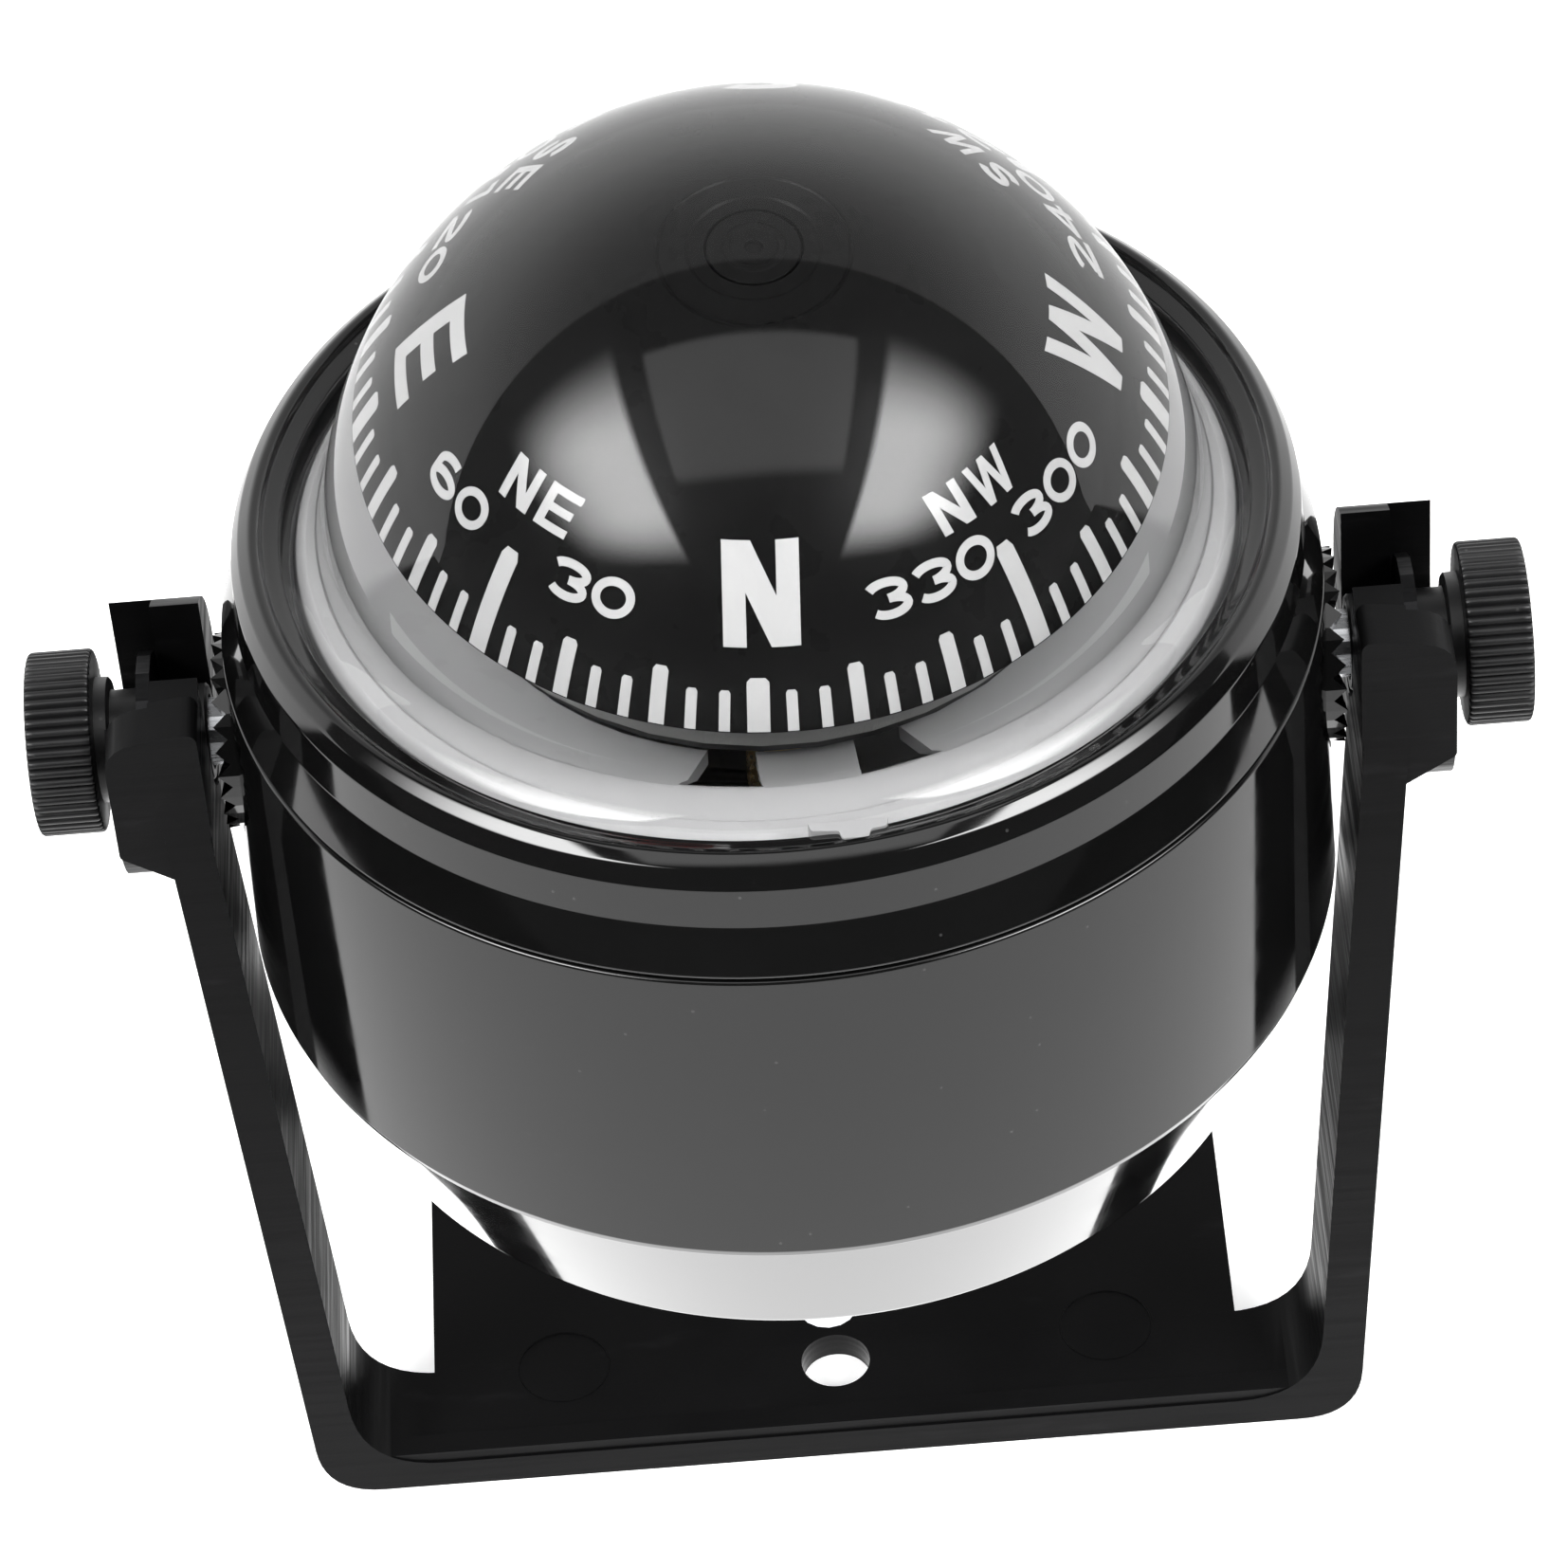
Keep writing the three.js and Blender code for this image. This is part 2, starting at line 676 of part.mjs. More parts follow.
// The plate closes the case from inside, and its rim sits on the case's turned-in floor.
function bottomPlate() {
  const low = CASE.taperEnd + CASE.wall + GAP;
  const outline = [
    [0, CASE.bottom + PLATE.recess],
    [CASE.mouthRadius - GAP, CASE.bottom + PLATE.recess],
    [CASE.mouthRadius - GAP, low],
    [PLATE.rimRadius, low],
    [PLATE.rimRadius, low + PLATE.thickness],
    [0, low + PLATE.thickness],
  ];
  const plate = spun(outline, ROUND);
  return piece("bottom_plate", cut(plate, ...screwBores(low - 1, low + 2)), "satinBlack");
}

function bottomScrew(index) {
  const turn = SCREW_TURNS[index];
  const headTop = CASE.bottom - GAP;
  const shank = upright(SCREW.radius, headTop - 0.5, CASE.taperEnd + CASE.wall + GAP + 1.2, 12);
  const head = upright(SCREW.headRadius, headTop - SCREW.headDepth, headTop, 16);
  const slot = block([-3, -0.3, headTop - 2], [3, 0.3, headTop - SCREW.slotDepth]);
  const screw = cut(join(head, shank), slot);
  return piece("bottom_screw_" + (index + 1), onScrewCircle(screw, turn), "steel");
}

const COMPENSATOR = {
  ns: { height: -22.8, turn: Math.PI / 2 },
  ew: { height: -18.2, turn: 0 },
  rodRadius: 1.5,
  headRadius: 2.4,
  headInner: 33.5,
  magnetRadius: 2.8,
  carrierTop: -15.2,
};

function compensatorPath(way, reach) {
  const { height, turn } = COMPENSATOR[way];
  return across(COMPENSATOR.headRadius + GAP, 30, reach).rotateZ(turn).translate(0, 0, height);
}

// One block holds both rods, one above the other, and stands on the bottom plate.
function compensatorCarrier() {
  const low = CASE.taperEnd + CASE.wall + PLATE.thickness + 2 * GAP;
  const body = block([-10, -10, low], [10, 10, COMPENSATOR.carrierTop]);
  const bores = ["ns", "ew"].map((way) => {
    const { height, turn } = COMPENSATOR[way];
    return across(COMPENSATOR.rodRadius + 0.1, -12, 12).rotateZ(turn).translate(0, 0, height);
  });
  return piece("compensator_carrier", cut(body, ...bores), "satinBlack");
}

function compensatorRod(way) {
  const { height, turn } = COMPENSATOR[way];
  const headOuter = 36;
  const rod = across(COMPENSATOR.rodRadius, -12, COMPENSATOR.headInner + 0.5);
  const head = across(COMPENSATOR.headRadius, COMPENSATOR.headInner, headOuter);
  const slot = block([headOuter - 1, -3, -0.4], [headOuter + 1, 3, 0.4]);
  const body = cut(join(rod, head), slot).rotateZ(turn).translate(0, 0, height);
  return piece("compensator_rod_" + way, body, "brass");
}

// A disc magnet that is pressed on the rod between the carrier and the head.
function compensatorMagnet(way) {
  const { height, turn } = COMPENSATOR[way];
  const disc = alongX(pipe(COMPENSATOR.magnetRadius, COMPENSATOR.rodRadius + GAP, 14, 20));
  return piece("compensator_magnet_" + way, disc.rotateZ(turn).translate(0, 0, height), "magnet");
}

// ---- knobs, studs, inserts and rosettes, built on the right and mirrored ----

function knob() {
  const count = KNOB.ribs * 2;
  const shape = new THREE.Shape(
    Array.from({ length: count }, (_, i) => {
      const radius = KNOB.radius - (i % 2) * KNOB.ribDepth;
      const angle = (i * 2 * Math.PI) / count;
      return new THREE.Vector2(radius * Math.cos(angle), radius * Math.sin(angle));
    }),
  );
  const bevel = 0.3;
  const depth = KNOB_SPAN / 2 - KNOB.inner - 2 * bevel;
  const settings = { depth, bevelThickness: bevel, bevelSize: bevel, bevelOffset: -bevel, bevelSegments: 1 };
  const grip = new THREE.ExtrudeGeometry(shape, settings).translate(0, 0, KNOB.inner + bevel);
  const collar = upright(KNOB.collarRadius, BOSS.outer + GAP, KNOB.inner + 0.5);
  const neck = upright(KNOB.neckRadius, BOSS.inner, KNOB.inner + 0.5);
  const bore = upright(STUD.radius + GAP, BOSS.inner - 1, KNOB.inner + 3);
  return alongX(cut(join(grip, collar, neck), bore));
}

function stud() {
  return across(STUD.radius, STUD.inner, KNOB.inner + 2.6);
}

function washer() {
  return alongX(pipe(6.3, KNOB.neckRadius + 0.2, BOSS.recessFloor + GAP, BOSS.recessFloor + GAP + 1));
}

function threadedInsert() {
  return alongX(pipe(INSERT_RADIUS, STUD.radius + GAP, CASE.insertBossInner + 0.2, CASE.pocketFloor));
}

// A disc with radial V teeth on its outer face: flat below, and a crest or a root at every other spoke.
function rosette() {
  const spokes = ROSETTE.teeth * 2;
  const positions = [];
  const index = [];
  for (let i = 0; i < spokes; i += 1) {
    const angle = (i * 2 * Math.PI) / spokes;
    const face = i % 2 ? ROSETTE.root : ROSETTE.tip;
    const corners = [
      [ROSETTE.inner, ROSETTE.floor],
      [ROSETTE.outer, ROSETTE.floor],
      [ROSETTE.outer, face],
      [ROSETTE.inner, (face + ROSETTE.root) / 2],
    ];
    for (const [radius, height] of corners) {
      positions.push(radius * Math.cos(angle), radius * Math.sin(angle), height);
    }
    for (let side = 0; side < 4; side += 1) {
      const here = [i * 4 + side, i * 4 + ((side + 1) % 4)];
      const next = here.map((corner) => (corner + 4) % (spokes * 4));
      index.push(here[0], next[0], next[1], here[0], next[1], here[1]);
    }
  }
  const geometry = new THREE.BufferGeometry();
  geometry.setAttribute("position", new THREE.Float32BufferAttribute(positions, 3));
  geometry.setIndex(index);
  geometry.computeVertexNormals();
  return alongX(geometry);
}

function sidePair(name, geometry, finish) {
  return [piece("right_" + name, geometry, finish), piece("left_" + name, mirroredX(geometry), finish)];
}

// ---- assembly --------------------------------------------------------------

// The card and all that floats with it, leaning about the needle's tip.
function floatingCard() {
  const float = new THREE.Group();
  float.position.z = -NEEDLE_TIP;
  float.add(compassCard(), cardHub(), jewelCup(), magnetYoke(), cardFloat());
  float.add(cardMagnet("card_magnet_east", -1), cardMagnet("card_magnet_west", 1));
  const leaning = new THREE.Group();
  leaning.position.z = NEEDLE_TIP;
  leaning.rotation.set(...[CARD.dip, CARD.heel, CARD.heading].map(THREE.MathUtils.degToRad));
  leaning.add(float);
  return leaning;
}

function housing() {
  const group = new THREE.Group();
  group.position.z = PIVOT_HEIGHT;
  group.add(caseShell(), bezelRing(), dome(), domeGasket(), innerRing(), bafflePlate(), bowl());
  group.add(diaphragm(), diaphragmRing(), pivotSpider(), pivotPost(), pivotNeedle());
  group.add(floatingCard(), lubberPost(), bottomPlate(), compensatorCarrier());
  SCREW_TURNS.forEach((_, i) => group.add(bottomScrew(i)));
  for (const way of ["ns", "ew"]) group.add(compensatorRod(way), compensatorMagnet(way));
  group.add(...sidePair("knob", knob(), "satinBlack"));
  group.add(...sidePair("stud", stud(), "steel"));
  group.add(...sidePair("washer", washer(), "steel"));
  group.add(...sidePair("threaded_insert", threadedInsert(), "brass"));
  group.add(...sidePair("rosette", rosette(), "glossBlack"));
  return group;
}

const compass = new THREE.Group();
compass.add(bracket(), housing());

export default compass;
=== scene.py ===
"""The looks of a bracket-mounted ball compass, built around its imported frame.

Every size is in millimetres until a mesh is written, when it becomes metres. Heights marked
"from the axis" are measured from the tilt axis that the two side knobs share.
"""

import logging
import math
from dataclasses import dataclass, field
from enum import Enum
from typing import Callable, Iterable, Sequence

import bmesh
import bpy
from mathutils import Matrix, Vector


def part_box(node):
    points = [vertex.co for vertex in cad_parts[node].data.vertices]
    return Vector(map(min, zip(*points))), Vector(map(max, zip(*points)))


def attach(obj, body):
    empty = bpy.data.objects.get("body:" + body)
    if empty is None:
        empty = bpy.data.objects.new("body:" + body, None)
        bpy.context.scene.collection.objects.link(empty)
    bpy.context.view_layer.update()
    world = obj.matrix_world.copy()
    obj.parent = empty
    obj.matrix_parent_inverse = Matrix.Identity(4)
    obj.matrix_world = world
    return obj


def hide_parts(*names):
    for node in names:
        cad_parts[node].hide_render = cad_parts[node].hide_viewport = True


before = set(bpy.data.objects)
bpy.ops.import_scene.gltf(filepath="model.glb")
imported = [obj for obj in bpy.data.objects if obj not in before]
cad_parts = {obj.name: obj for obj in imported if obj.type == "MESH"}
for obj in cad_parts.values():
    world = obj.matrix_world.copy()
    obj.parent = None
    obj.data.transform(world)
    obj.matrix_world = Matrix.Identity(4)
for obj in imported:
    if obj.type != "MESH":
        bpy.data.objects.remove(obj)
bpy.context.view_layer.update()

MM = 0.001
AXIS_HEIGHT = (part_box("right_knob")[0].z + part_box("right_knob")[1].z) / 2 / MM

log = logging.getLogger("compass")

Point = tuple[float, float]
Points = list[Point]
Outline = Sequence[Point]
Mesh = bmesh.types.BMesh
Place = Callable[[float, float, float], Vector]
Socket = bpy.types.NodeSocket


class Side(Enum):
    """The two ends of the tilt axis."""

    RIGHT = 1
    LEFT = -1

    @property
    def word(self) -> str:
        """The side's name, as the frame's nodes spell it."""
        return self.name.lower()


class Axis(Enum):
    """The axis that an outline is turned about."""

    UPRIGHT = "z"
    ACROSS = "x"


# ---- mesh making ------------------------------------------------------------------------------


def new_object(name: str, mesh_maker: Mesh, crease: float = 30.0) -> bpy.types.Object:
    """Writes a bmesh in millimetres to a new object in metres, smooth except at its creases.

    Args:
        name: The object's name.
        mesh_maker: The mesh, which is freed.
        crease: Edges that turn by more than this many degrees stay sharp.

    Returns:
        The new object, linked to the scene.
    """
    bmesh.ops.scale(mesh_maker, vec=(MM, MM, MM), verts=mesh_maker.verts)
    mesh_maker.normal_update()
    limit = math.radians(crease)
    for edge in mesh_maker.edges:
        edge.smooth = len(edge.link_faces) == 2 and edge.calc_face_angle(0) < limit
    for face in mesh_maker.faces:
        face.smooth = True
    mesh = bpy.data.meshes.new(name)
    mesh_maker.to_mesh(mesh)
    mesh_maker.free()
    made = bpy.data.objects.new(name, mesh)
    bpy.context.scene.collection.objects.link(made)
    return made


def rounded_outline(corners: Sequence[tuple[float, float, float]], steps: int = 5) -> Points:
    """Rounds the corners of a closed outline.

    Args:
        corners: Each corner as x, y and its rounding radius.
        steps: Steps in each rounding.

    Returns:
        The outline's points, in the corners' order.
    """
    points = []
    count = len(corners)
    for i, (x, y, radius) in enumerate(corners):
        here = Vector((x, y))
        if radius <= 0:
            points.append((x, y))
            continue
        to_last = Vector(corners[i - 1][:2]) - here
        to_next = Vector(corners[(i + 1) % count][:2]) - here
        half_turn = to_last.angle(to_next) / 2
        reach = min(radius / math.tan(half_turn), 0.49 * to_last.length, 0.49 * to_next.length)
        start = here + to_last.normalized() * reach
        end = here + to_next.normalized() * reach
        for step in range(steps + 1):
            t = step / steps
            points.append(tuple(start * (1 - t) ** 2 + here * (2 * t * (1 - t)) + end * t**2))
    return points


def arc(radius: float, centre: Point, start: float, end: float, steps: int) -> Points:
    """Points of an arc from one angle to another, in degrees."""
    angles = [math.radians(start + (end - start) * i / steps) for i in range(steps + 1)]
    return [(centre[0] + radius * math.cos(a), centre[1] + radius * math.sin(a)) for a in angles]


def turn_point(axis: Axis, radius: float, height: float, angle: float) -> Vector:
    """A point of a turned outline, at an angle about the axis."""
    if axis is Axis.UPRIGHT:
        return Vector((radius * math.cos(angle), radius * math.sin(angle), height))
    return Vector((height, radius * math.cos(angle), radius * math.sin(angle)))


def turned(outline: Outline, axis: Axis = Axis.UPRIGHT, segments: int = 192,
           ripple: Callable[[float, float, float], float] | None = None) -> Mesh:
    """Turns a closed outline of (radius, height) points about an axis through the origin.

    Args:
        outline: The outline. Points with radius 0 lie on the axis.
        axis: What it is turned about.
        segments: Steps round the axis.
        ripple: Changes the radius, given radius, height and angle.

    Returns:
        A closed mesh with its faces pointing out.
    """
    maker = bmesh.new()
    rings = []
    for radius, height in outline:
        if radius < 1e-6:
            rings.append([maker.verts.new(turn_point(axis, 0, height, 0))] * segments)
            continue
        ring = []
        for i in range(segments):
            angle = math.tau * i / segments
            reach = ripple(radius, height, angle) if ripple else radius
            ring.append(maker.verts.new(turn_point(axis, reach, height, angle)))
        rings.append(ring)
    for here, there in zip(rings, rings[1:] + rings[:1]):
        for i in range(segments):
            j = (i + 1) % segments
            corners = list(dict.fromkeys((here[i], here[j], there[j], there[i])))
            if len(corners) > 2:
                maker.faces.new(corners)
    bmesh.ops.recalc_face_normals(maker, faces=maker.faces)
    return maker


def pulled(outline: Outline, low: float, high: float, place: Place) -> Mesh:
    """A prism over an outline.

    Args:
        outline: The outline's points.
        low: Where the prism starts.
        high: Where it ends.
        place: Gives a point from the outline's two values and the height.

    Returns:
        A closed mesh.
    """
    maker = bmesh.new()
    bottom = [maker.verts.new(place(a, b, low)) for a, b in outline]
    top = [maker.verts.new(place(a, b, high)) for a, b in outline]
    count = len(outline)
    maker.faces.new(bottom)
    maker.faces.new(top)
    for i in range(count):
        maker.faces.new((bottom[i], bottom[(i + 1) % count], top[(i + 1) % count], top[i]))
    bmesh.ops.recalc_face_normals(maker, faces=maker.faces)
    return maker


def flat_on_front(a: float, b: float, depth: float) -> Vector:
    """A point of a front-view outline, pulled along Y."""
    return Vector((a, depth, b))


def flat_on_plan(a: float, b: float, depth: float) -> Vector:
    """A point of a plan outline, pulled along Z."""
    return Vector((a, b, depth))


def box_mesh(low: Sequence[float], high: Sequence[float]) -> Mesh:
    """A block between two corners, as a tool for a cut or a join."""
    outline = [(low[0], low[1]), (high[0], low[1]), (high[0], high[1]), (low[0], high[1])]
    return pulled(outline, low[2], high[2], flat_on_plan)


def rod_mesh(radius: float, start: Vector, end: Vector, segments: int = 64) -> Mesh:
    """A round rod between two points, as a tool for a cut or a join."""
    maker = bmesh.new()
    length = (end - start).length
    turn = (end - start).to_track_quat("Z", "Y").to_matrix().to_4x4()
    matrix = Matrix.Translation((start + end) / 2) @ turn
    bmesh.ops.create_cone(maker, cap_ends=True, segments=segments, radius1=radius, radius2=radius,
                          depth=length, matrix=matrix)
    return maker


def combine(base: Mesh, tools: Iterable[tuple[str, Mesh]]) -> Mesh:
    """Joins tools to a mesh and cuts tools from it, in order.

    Args:
        base: The mesh to start from, which is freed.
        tools: Each tool with UNION or DIFFERENCE. They are freed.

    Returns:
        The resulting mesh, in millimetres.
    """
    holder = bpy.data.objects.new("holder", bpy.data.meshes.new("holder"))
    bpy.context.scene.collection.objects.link(holder)
    base.to_mesh(holder.data)
    base.free()
    helpers = []
    for operation, tool in tools:
        helper = bpy.data.objects.new("helper", bpy.data.meshes.new("helper"))
        bpy.context.scene.collection.objects.link(helper)
        tool.to_mesh(helper.data)
        tool.free()
        modifier = holder.modifiers.new("combine", "BOOLEAN")
        modifier.operation = operation
        modifier.solver = "EXACT"
        modifier.object = helper
        helpers.append(helper)
    bpy.context.view_layer.update()
    result = bpy.data.meshes.new_from_object(holder.evaluated_get(bpy.context.evaluated_depsgraph_get()))
    maker = bmesh.new()
    maker.from_mesh(result)
    for helper in [*helpers, holder]:
        bpy.data.objects.remove(helper)
    bmesh.ops.remove_doubles(maker, verts=maker.verts, dist=1e-4)
    bmesh.ops.dissolve_limit(maker, angle_limit=math.radians(0.05), verts=maker.verts, edges=maker.edges)
    return maker


def soften(piece: bpy.types.Object, width: float, segments: int = 2, angle: float = 35.0) -> None:
    """Rounds a piece's edges with a bevel.

    Args:
        piece: The piece.
        width: The bevel's width in millimetres.
        segments: Steps across the bevel.
        angle: Only edges that turn by more than this many degrees are rounded.
    """
    bevel = piece.modifiers.new("soft edges", "BEVEL")
    bevel.width = width * MM
    bevel.segments = segments
    bevel.limit_method = "ANGLE"
    bevel.angle_limit = math.radians(angle)
    bevel.use_clamp_overlap = True
    bevel.harden_normals = True


def raise_to_axis(maker: Mesh) -> Mesh:
    """Moves a mesh whose heights are from the axis up to its place above the table."""
    bmesh.ops.translate(maker, vec=(0, 0, AXIS_HEIGHT), verts=maker.verts)
    return maker


# ---- finishes ---------------------------------------------------------------------------------


class Nodes:
    """Makes the nodes of one material, with object coordinates in metres."""

    def __init__(self, name: str) -> None:
        """Starts an empty material with a Principled shader.

        Args:
            name: The material's name.
        """
        self.material = bpy.data.materials.new(name)
        self.material.use_nodes = True
        self.tree = self.material.node_tree
        self.shader = self.tree.nodes["Principled BSDF"]
        self.output = self.tree.nodes["Material Output"]
        self.place = self.add("ShaderNodeTexCoord").outputs["Object"]

    def add(self, kind: str, **settings: object) -> bpy.types.Node:
        """Adds a node and sets its properties."""
        node = self.tree.nodes.new(kind)
        for key, value in settings.items():
            setattr(node, key, value)
        return node

    def link(self, source: Socket, target: Socket) -> None:
        """Joins two sockets."""
        self.tree.links.new(source, target)

    def noise(self, grain: float, detail: float = 3.0, stretch: Sequence[float] = (1, 1, 1)) -> Socket:
        """Noise with a grain of that many millimetres.

        Args:
            grain: The size of one blotch in millimetres.
            detail: Noise detail.
            stretch: How much longer the blotches are along each axis.

        Returns:
            The noise's value socket.
        """
        mapping = self.add("ShaderNodeMapping")
        mapping.inputs["Scale"].default_value = [1 / (grain * MM * s) for s in stretch]
        self.link(self.place, mapping.inputs["Vector"])
        texture = self.add("ShaderNodeTexNoise")
        texture.inputs["Scale"].default_value = 1.0
        texture.inputs["Detail"].default_value = detail
        self.link(mapping.outputs["Vector"], texture.inputs["Vector"])
        return texture.outputs["Fac"]

    def specks(self, spacing: float, size: float) -> Socket:
        """Scattered round specks, 1 on a speck and 0 off it.

        Args:
            spacing: The distance between specks in millimetres.
            size: A speck's size as a share of the spacing.

        Returns:
            The mask's value socket.
        """
        texture = self.add("ShaderNodeTexVoronoi")
        texture.inputs["Scale"].default_value = 1 / (spacing * MM)
        self.link(self.place, texture.inputs["Vector"])
        return self.ramp(texture.outputs["Distance"], size, size * 0.5, 0.0, 1.0)

    def ramp(self, source: Socket, low: float, high: float,
             at_low: float, at_high: float) -> Socket:
        """Maps a value smoothly from one range to another.

        Args:
            source: The value.
            low: Where the range starts.
            high: Where it ends.
            at_low: The result at the start.
            at_high: The result at the end.

        Returns:
            The result's socket.
        """
        node = self.add("ShaderNodeMapRange", interpolation_type="SMOOTHSTEP")
        node.inputs["From Min"].default_value = min(low, high)
        node.inputs["From Max"].default_value = max(low, high)
        node.inputs["To Min"].default_value = at_low if low < high else at_high
        node.inputs["To Max"].default_value = at_high if low < high else at_low
        self.link(source, node.inputs["Value"])
        return node.outputs["Result"]

    def math(self, operation: str, first: Socket,
             second: Socket | float) -> Socket:
        """Combines two values, the second a socket or a number."""
        node = self.add("ShaderNodeMath", operation=operation)
        self.link(first, node.inputs[0])
        if isinstance(second, Socket):
            self.link(second, node.inputs[1])
        else:
            node.inputs[1].default_value = second
        return node.outputs["Value"]

    def blend(self, mask: Socket, first: Sequence[float] | Socket, second: Sequence[float]) -> Socket:
        """Mixes two colours by a mask. The first is a colour or a socket."""
        node = self.add("ShaderNodeMix", data_type="RGBA")
        self.link(mask, node.inputs["Factor"])
        if isinstance(first, Socket):
            self.link(first, node.inputs["A"])
        else:
            node.inputs["A"].default_value = (*first, 1)
        node.inputs["B"].default_value = (*second, 1)
        return node.outputs["Result"]

    def bump(self, height: Socket, depth: float, strength: float = 1.0) -> None:
        """Adds a bump under any bump already there.

        Args:
            height: The height socket, from 0 to 1.
            depth: The bump's depth in millimetres.
            strength: The bump's strength.
        """
        node = self.add("ShaderNodeBump")
        node.inputs["Strength"].default_value = strength
        node.inputs["Distance"].default_value = depth * MM
        self.link(height, node.inputs["Height"])
        normal = self.shader.inputs["Normal"]
        if normal.is_linked:
            self.link(normal.links[0].from_socket, node.inputs["Normal"])
        self.link(node.outputs["Normal"], normal)


def shade(colour: Sequence[float], factor: float) -> tuple[float, ...]:
    """A colour made lighter or darker."""
    return tuple(min(1.0, channel * factor) for channel in colour)


@dataclass(frozen=True)
class Moulded:
    """Moulded plastic or rubber: a flow mottle, a fine grain and a few dust specks."""

    name: str
    colour: tuple[float, float, float]
    roughness: float
    spread: float = 0.08
    mottle: float = 0.25
    grain: float = 0.25
    depth: float = 0.006
    dust: float = 0.0
    coat: float = 0.0
    glow: float = 0.0
    ior: float = 1.5
    specular: float = 0.5

    def make(self) -> bpy.types.Material:
        """Builds the material."""
        nodes = Nodes(self.name)
        shader = nodes.shader
        flow = nodes.noise(9.0, 4.0)
        colour = nodes.blend(flow, shade(self.colour, 1 - self.mottle), shade(self.colour, 1 + self.mottle))
        if self.dust:
            colour = nodes.blend(nodes.specks(2.6, 0.06), colour, (self.dust,) * 3)
        nodes.link(colour, shader.inputs["Base Color"])
        wear = nodes.noise(4.0, 5.0)
        low, high = max(0.02, self.roughness - self.spread), self.roughness + self.spread
        nodes.link(nodes.ramp(wear, 0.3, 0.7, low, high), shader.inputs["Roughness"])
        nodes.bump(nodes.noise(self.grain, 2.0), self.depth)
        shader.inputs["IOR"].default_value = self.ior
        shader.inputs["Specular IOR Level"].default_value = self.specular
        shader.inputs["Coat Weight"].default_value = self.coat
        shader.inputs["Coat Roughness"].default_value = 0.03
        if self.glow:
            shader.inputs["Subsurface Weight"].default_value = self.glow
            shader.inputs["Subsurface Radius"].default_value = (2 * MM, 2 * MM, 2 * MM)
            shader.inputs["Subsurface Scale"].default_value = 1.0
        return nodes.material


@dataclass(frozen=True)
class SawnSatin:
    """Satin black plastic whose front faces carry fine level tool lines."""

    name: str
    colour: tuple[float, float, float]
    roughness: float
    specular: float = 0.07

    def make(self) -> bpy.types.Material:
        """Builds the material."""
        nodes = Nodes(self.name)
        shader = nodes.shader
        shader.inputs["Specular IOR Level"].default_value = self.specular
        flow = nodes.noise(14.0, 5.0)
        scuffs = nodes.ramp(nodes.noise(3.0, 6.0, (3, 1, 0.6)), 0.62, 0.78, 0.0, 1.0)
        base = nodes.blend(flow, shade(self.colour, 0.75), shade(self.colour, 1.25))
        nodes.link(nodes.blend(scuffs, base, shade(self.colour, 1.9)), shader.inputs["Base Color"])
        lines = nodes.noise(0.55, 3.0, (30, 30, 1))
        nodes.link(nodes.ramp(lines, 0.3, 0.7, self.roughness - 0.1, self.roughness + 0.12),
                   shader.inputs["Roughness"])
        nodes.bump(lines, 0.03, 0.45)
        nodes.bump(nodes.noise(0.18, 2.0), 0.008)
        return nodes.material


@dataclass(frozen=True)
class Metal:
    """Turned or plated metal with fine circular or straight marks."""

    name: str
    colour: tuple[float, float, float]
    roughness: float
    lay: tuple[float, float, float] = (8, 1, 1)

    def make(self) -> bpy.types.Material:
        """Builds the material."""
        nodes = Nodes(self.name)
        shader = nodes.shader
        marks = nodes.noise(0.25, 4.0, self.lay)
        stain = nodes.noise(3.0, 4.0)
        nodes.link(nodes.blend(stain, shade(self.colour, 0.85), shade(self.colour, 1.1)),
                   shader.inputs["Base Color"])
        nodes.link(nodes.ramp(marks, 0.3, 0.7, self.roughness - 0.08, self.roughness + 0.1),
                   shader.inputs["Roughness"])
        shader.inputs["Metallic"].default_value = 1.0
        nodes.bump(marks, 0.004)
        return nodes.material


@dataclass(frozen=True)
class ClearFill:
    """The clear dome with its liquid. Lamps shine through it, so what floats inside is lit."""

    name: str
    ior: float

    def make(self) -> bpy.types.Material:
        """Builds the material."""
        nodes = Nodes(self.name)
        shader = nodes.shader
        shader.inputs["Base Color"].default_value = (1, 1, 1, 1)
        shader.inputs["Transmission Weight"].default_value = 1.0
        shader.inputs["IOR"].default_value = self.ior
        smears = nodes.noise(5.0, 6.0, (1, 1, 3))
        nodes.link(nodes.ramp(smears, 0.6, 0.85, 0.0, 0.03), shader.inputs["Roughness"])
        clear = nodes.add("ShaderNodeBsdfTransparent")
        rays = nodes.add("ShaderNodeLightPath")
        mix = nodes.add("ShaderNodeMixShader")
        nodes.link(rays.outputs["Is Shadow Ray"], mix.inputs["Fac"])
        nodes.link(shader.outputs["BSDF"], mix.inputs[1])
        nodes.link(clear.outputs["BSDF"], mix.inputs[2])
        nodes.link(mix.outputs["Shader"], nodes.output.inputs["Surface"])
        return nodes.material


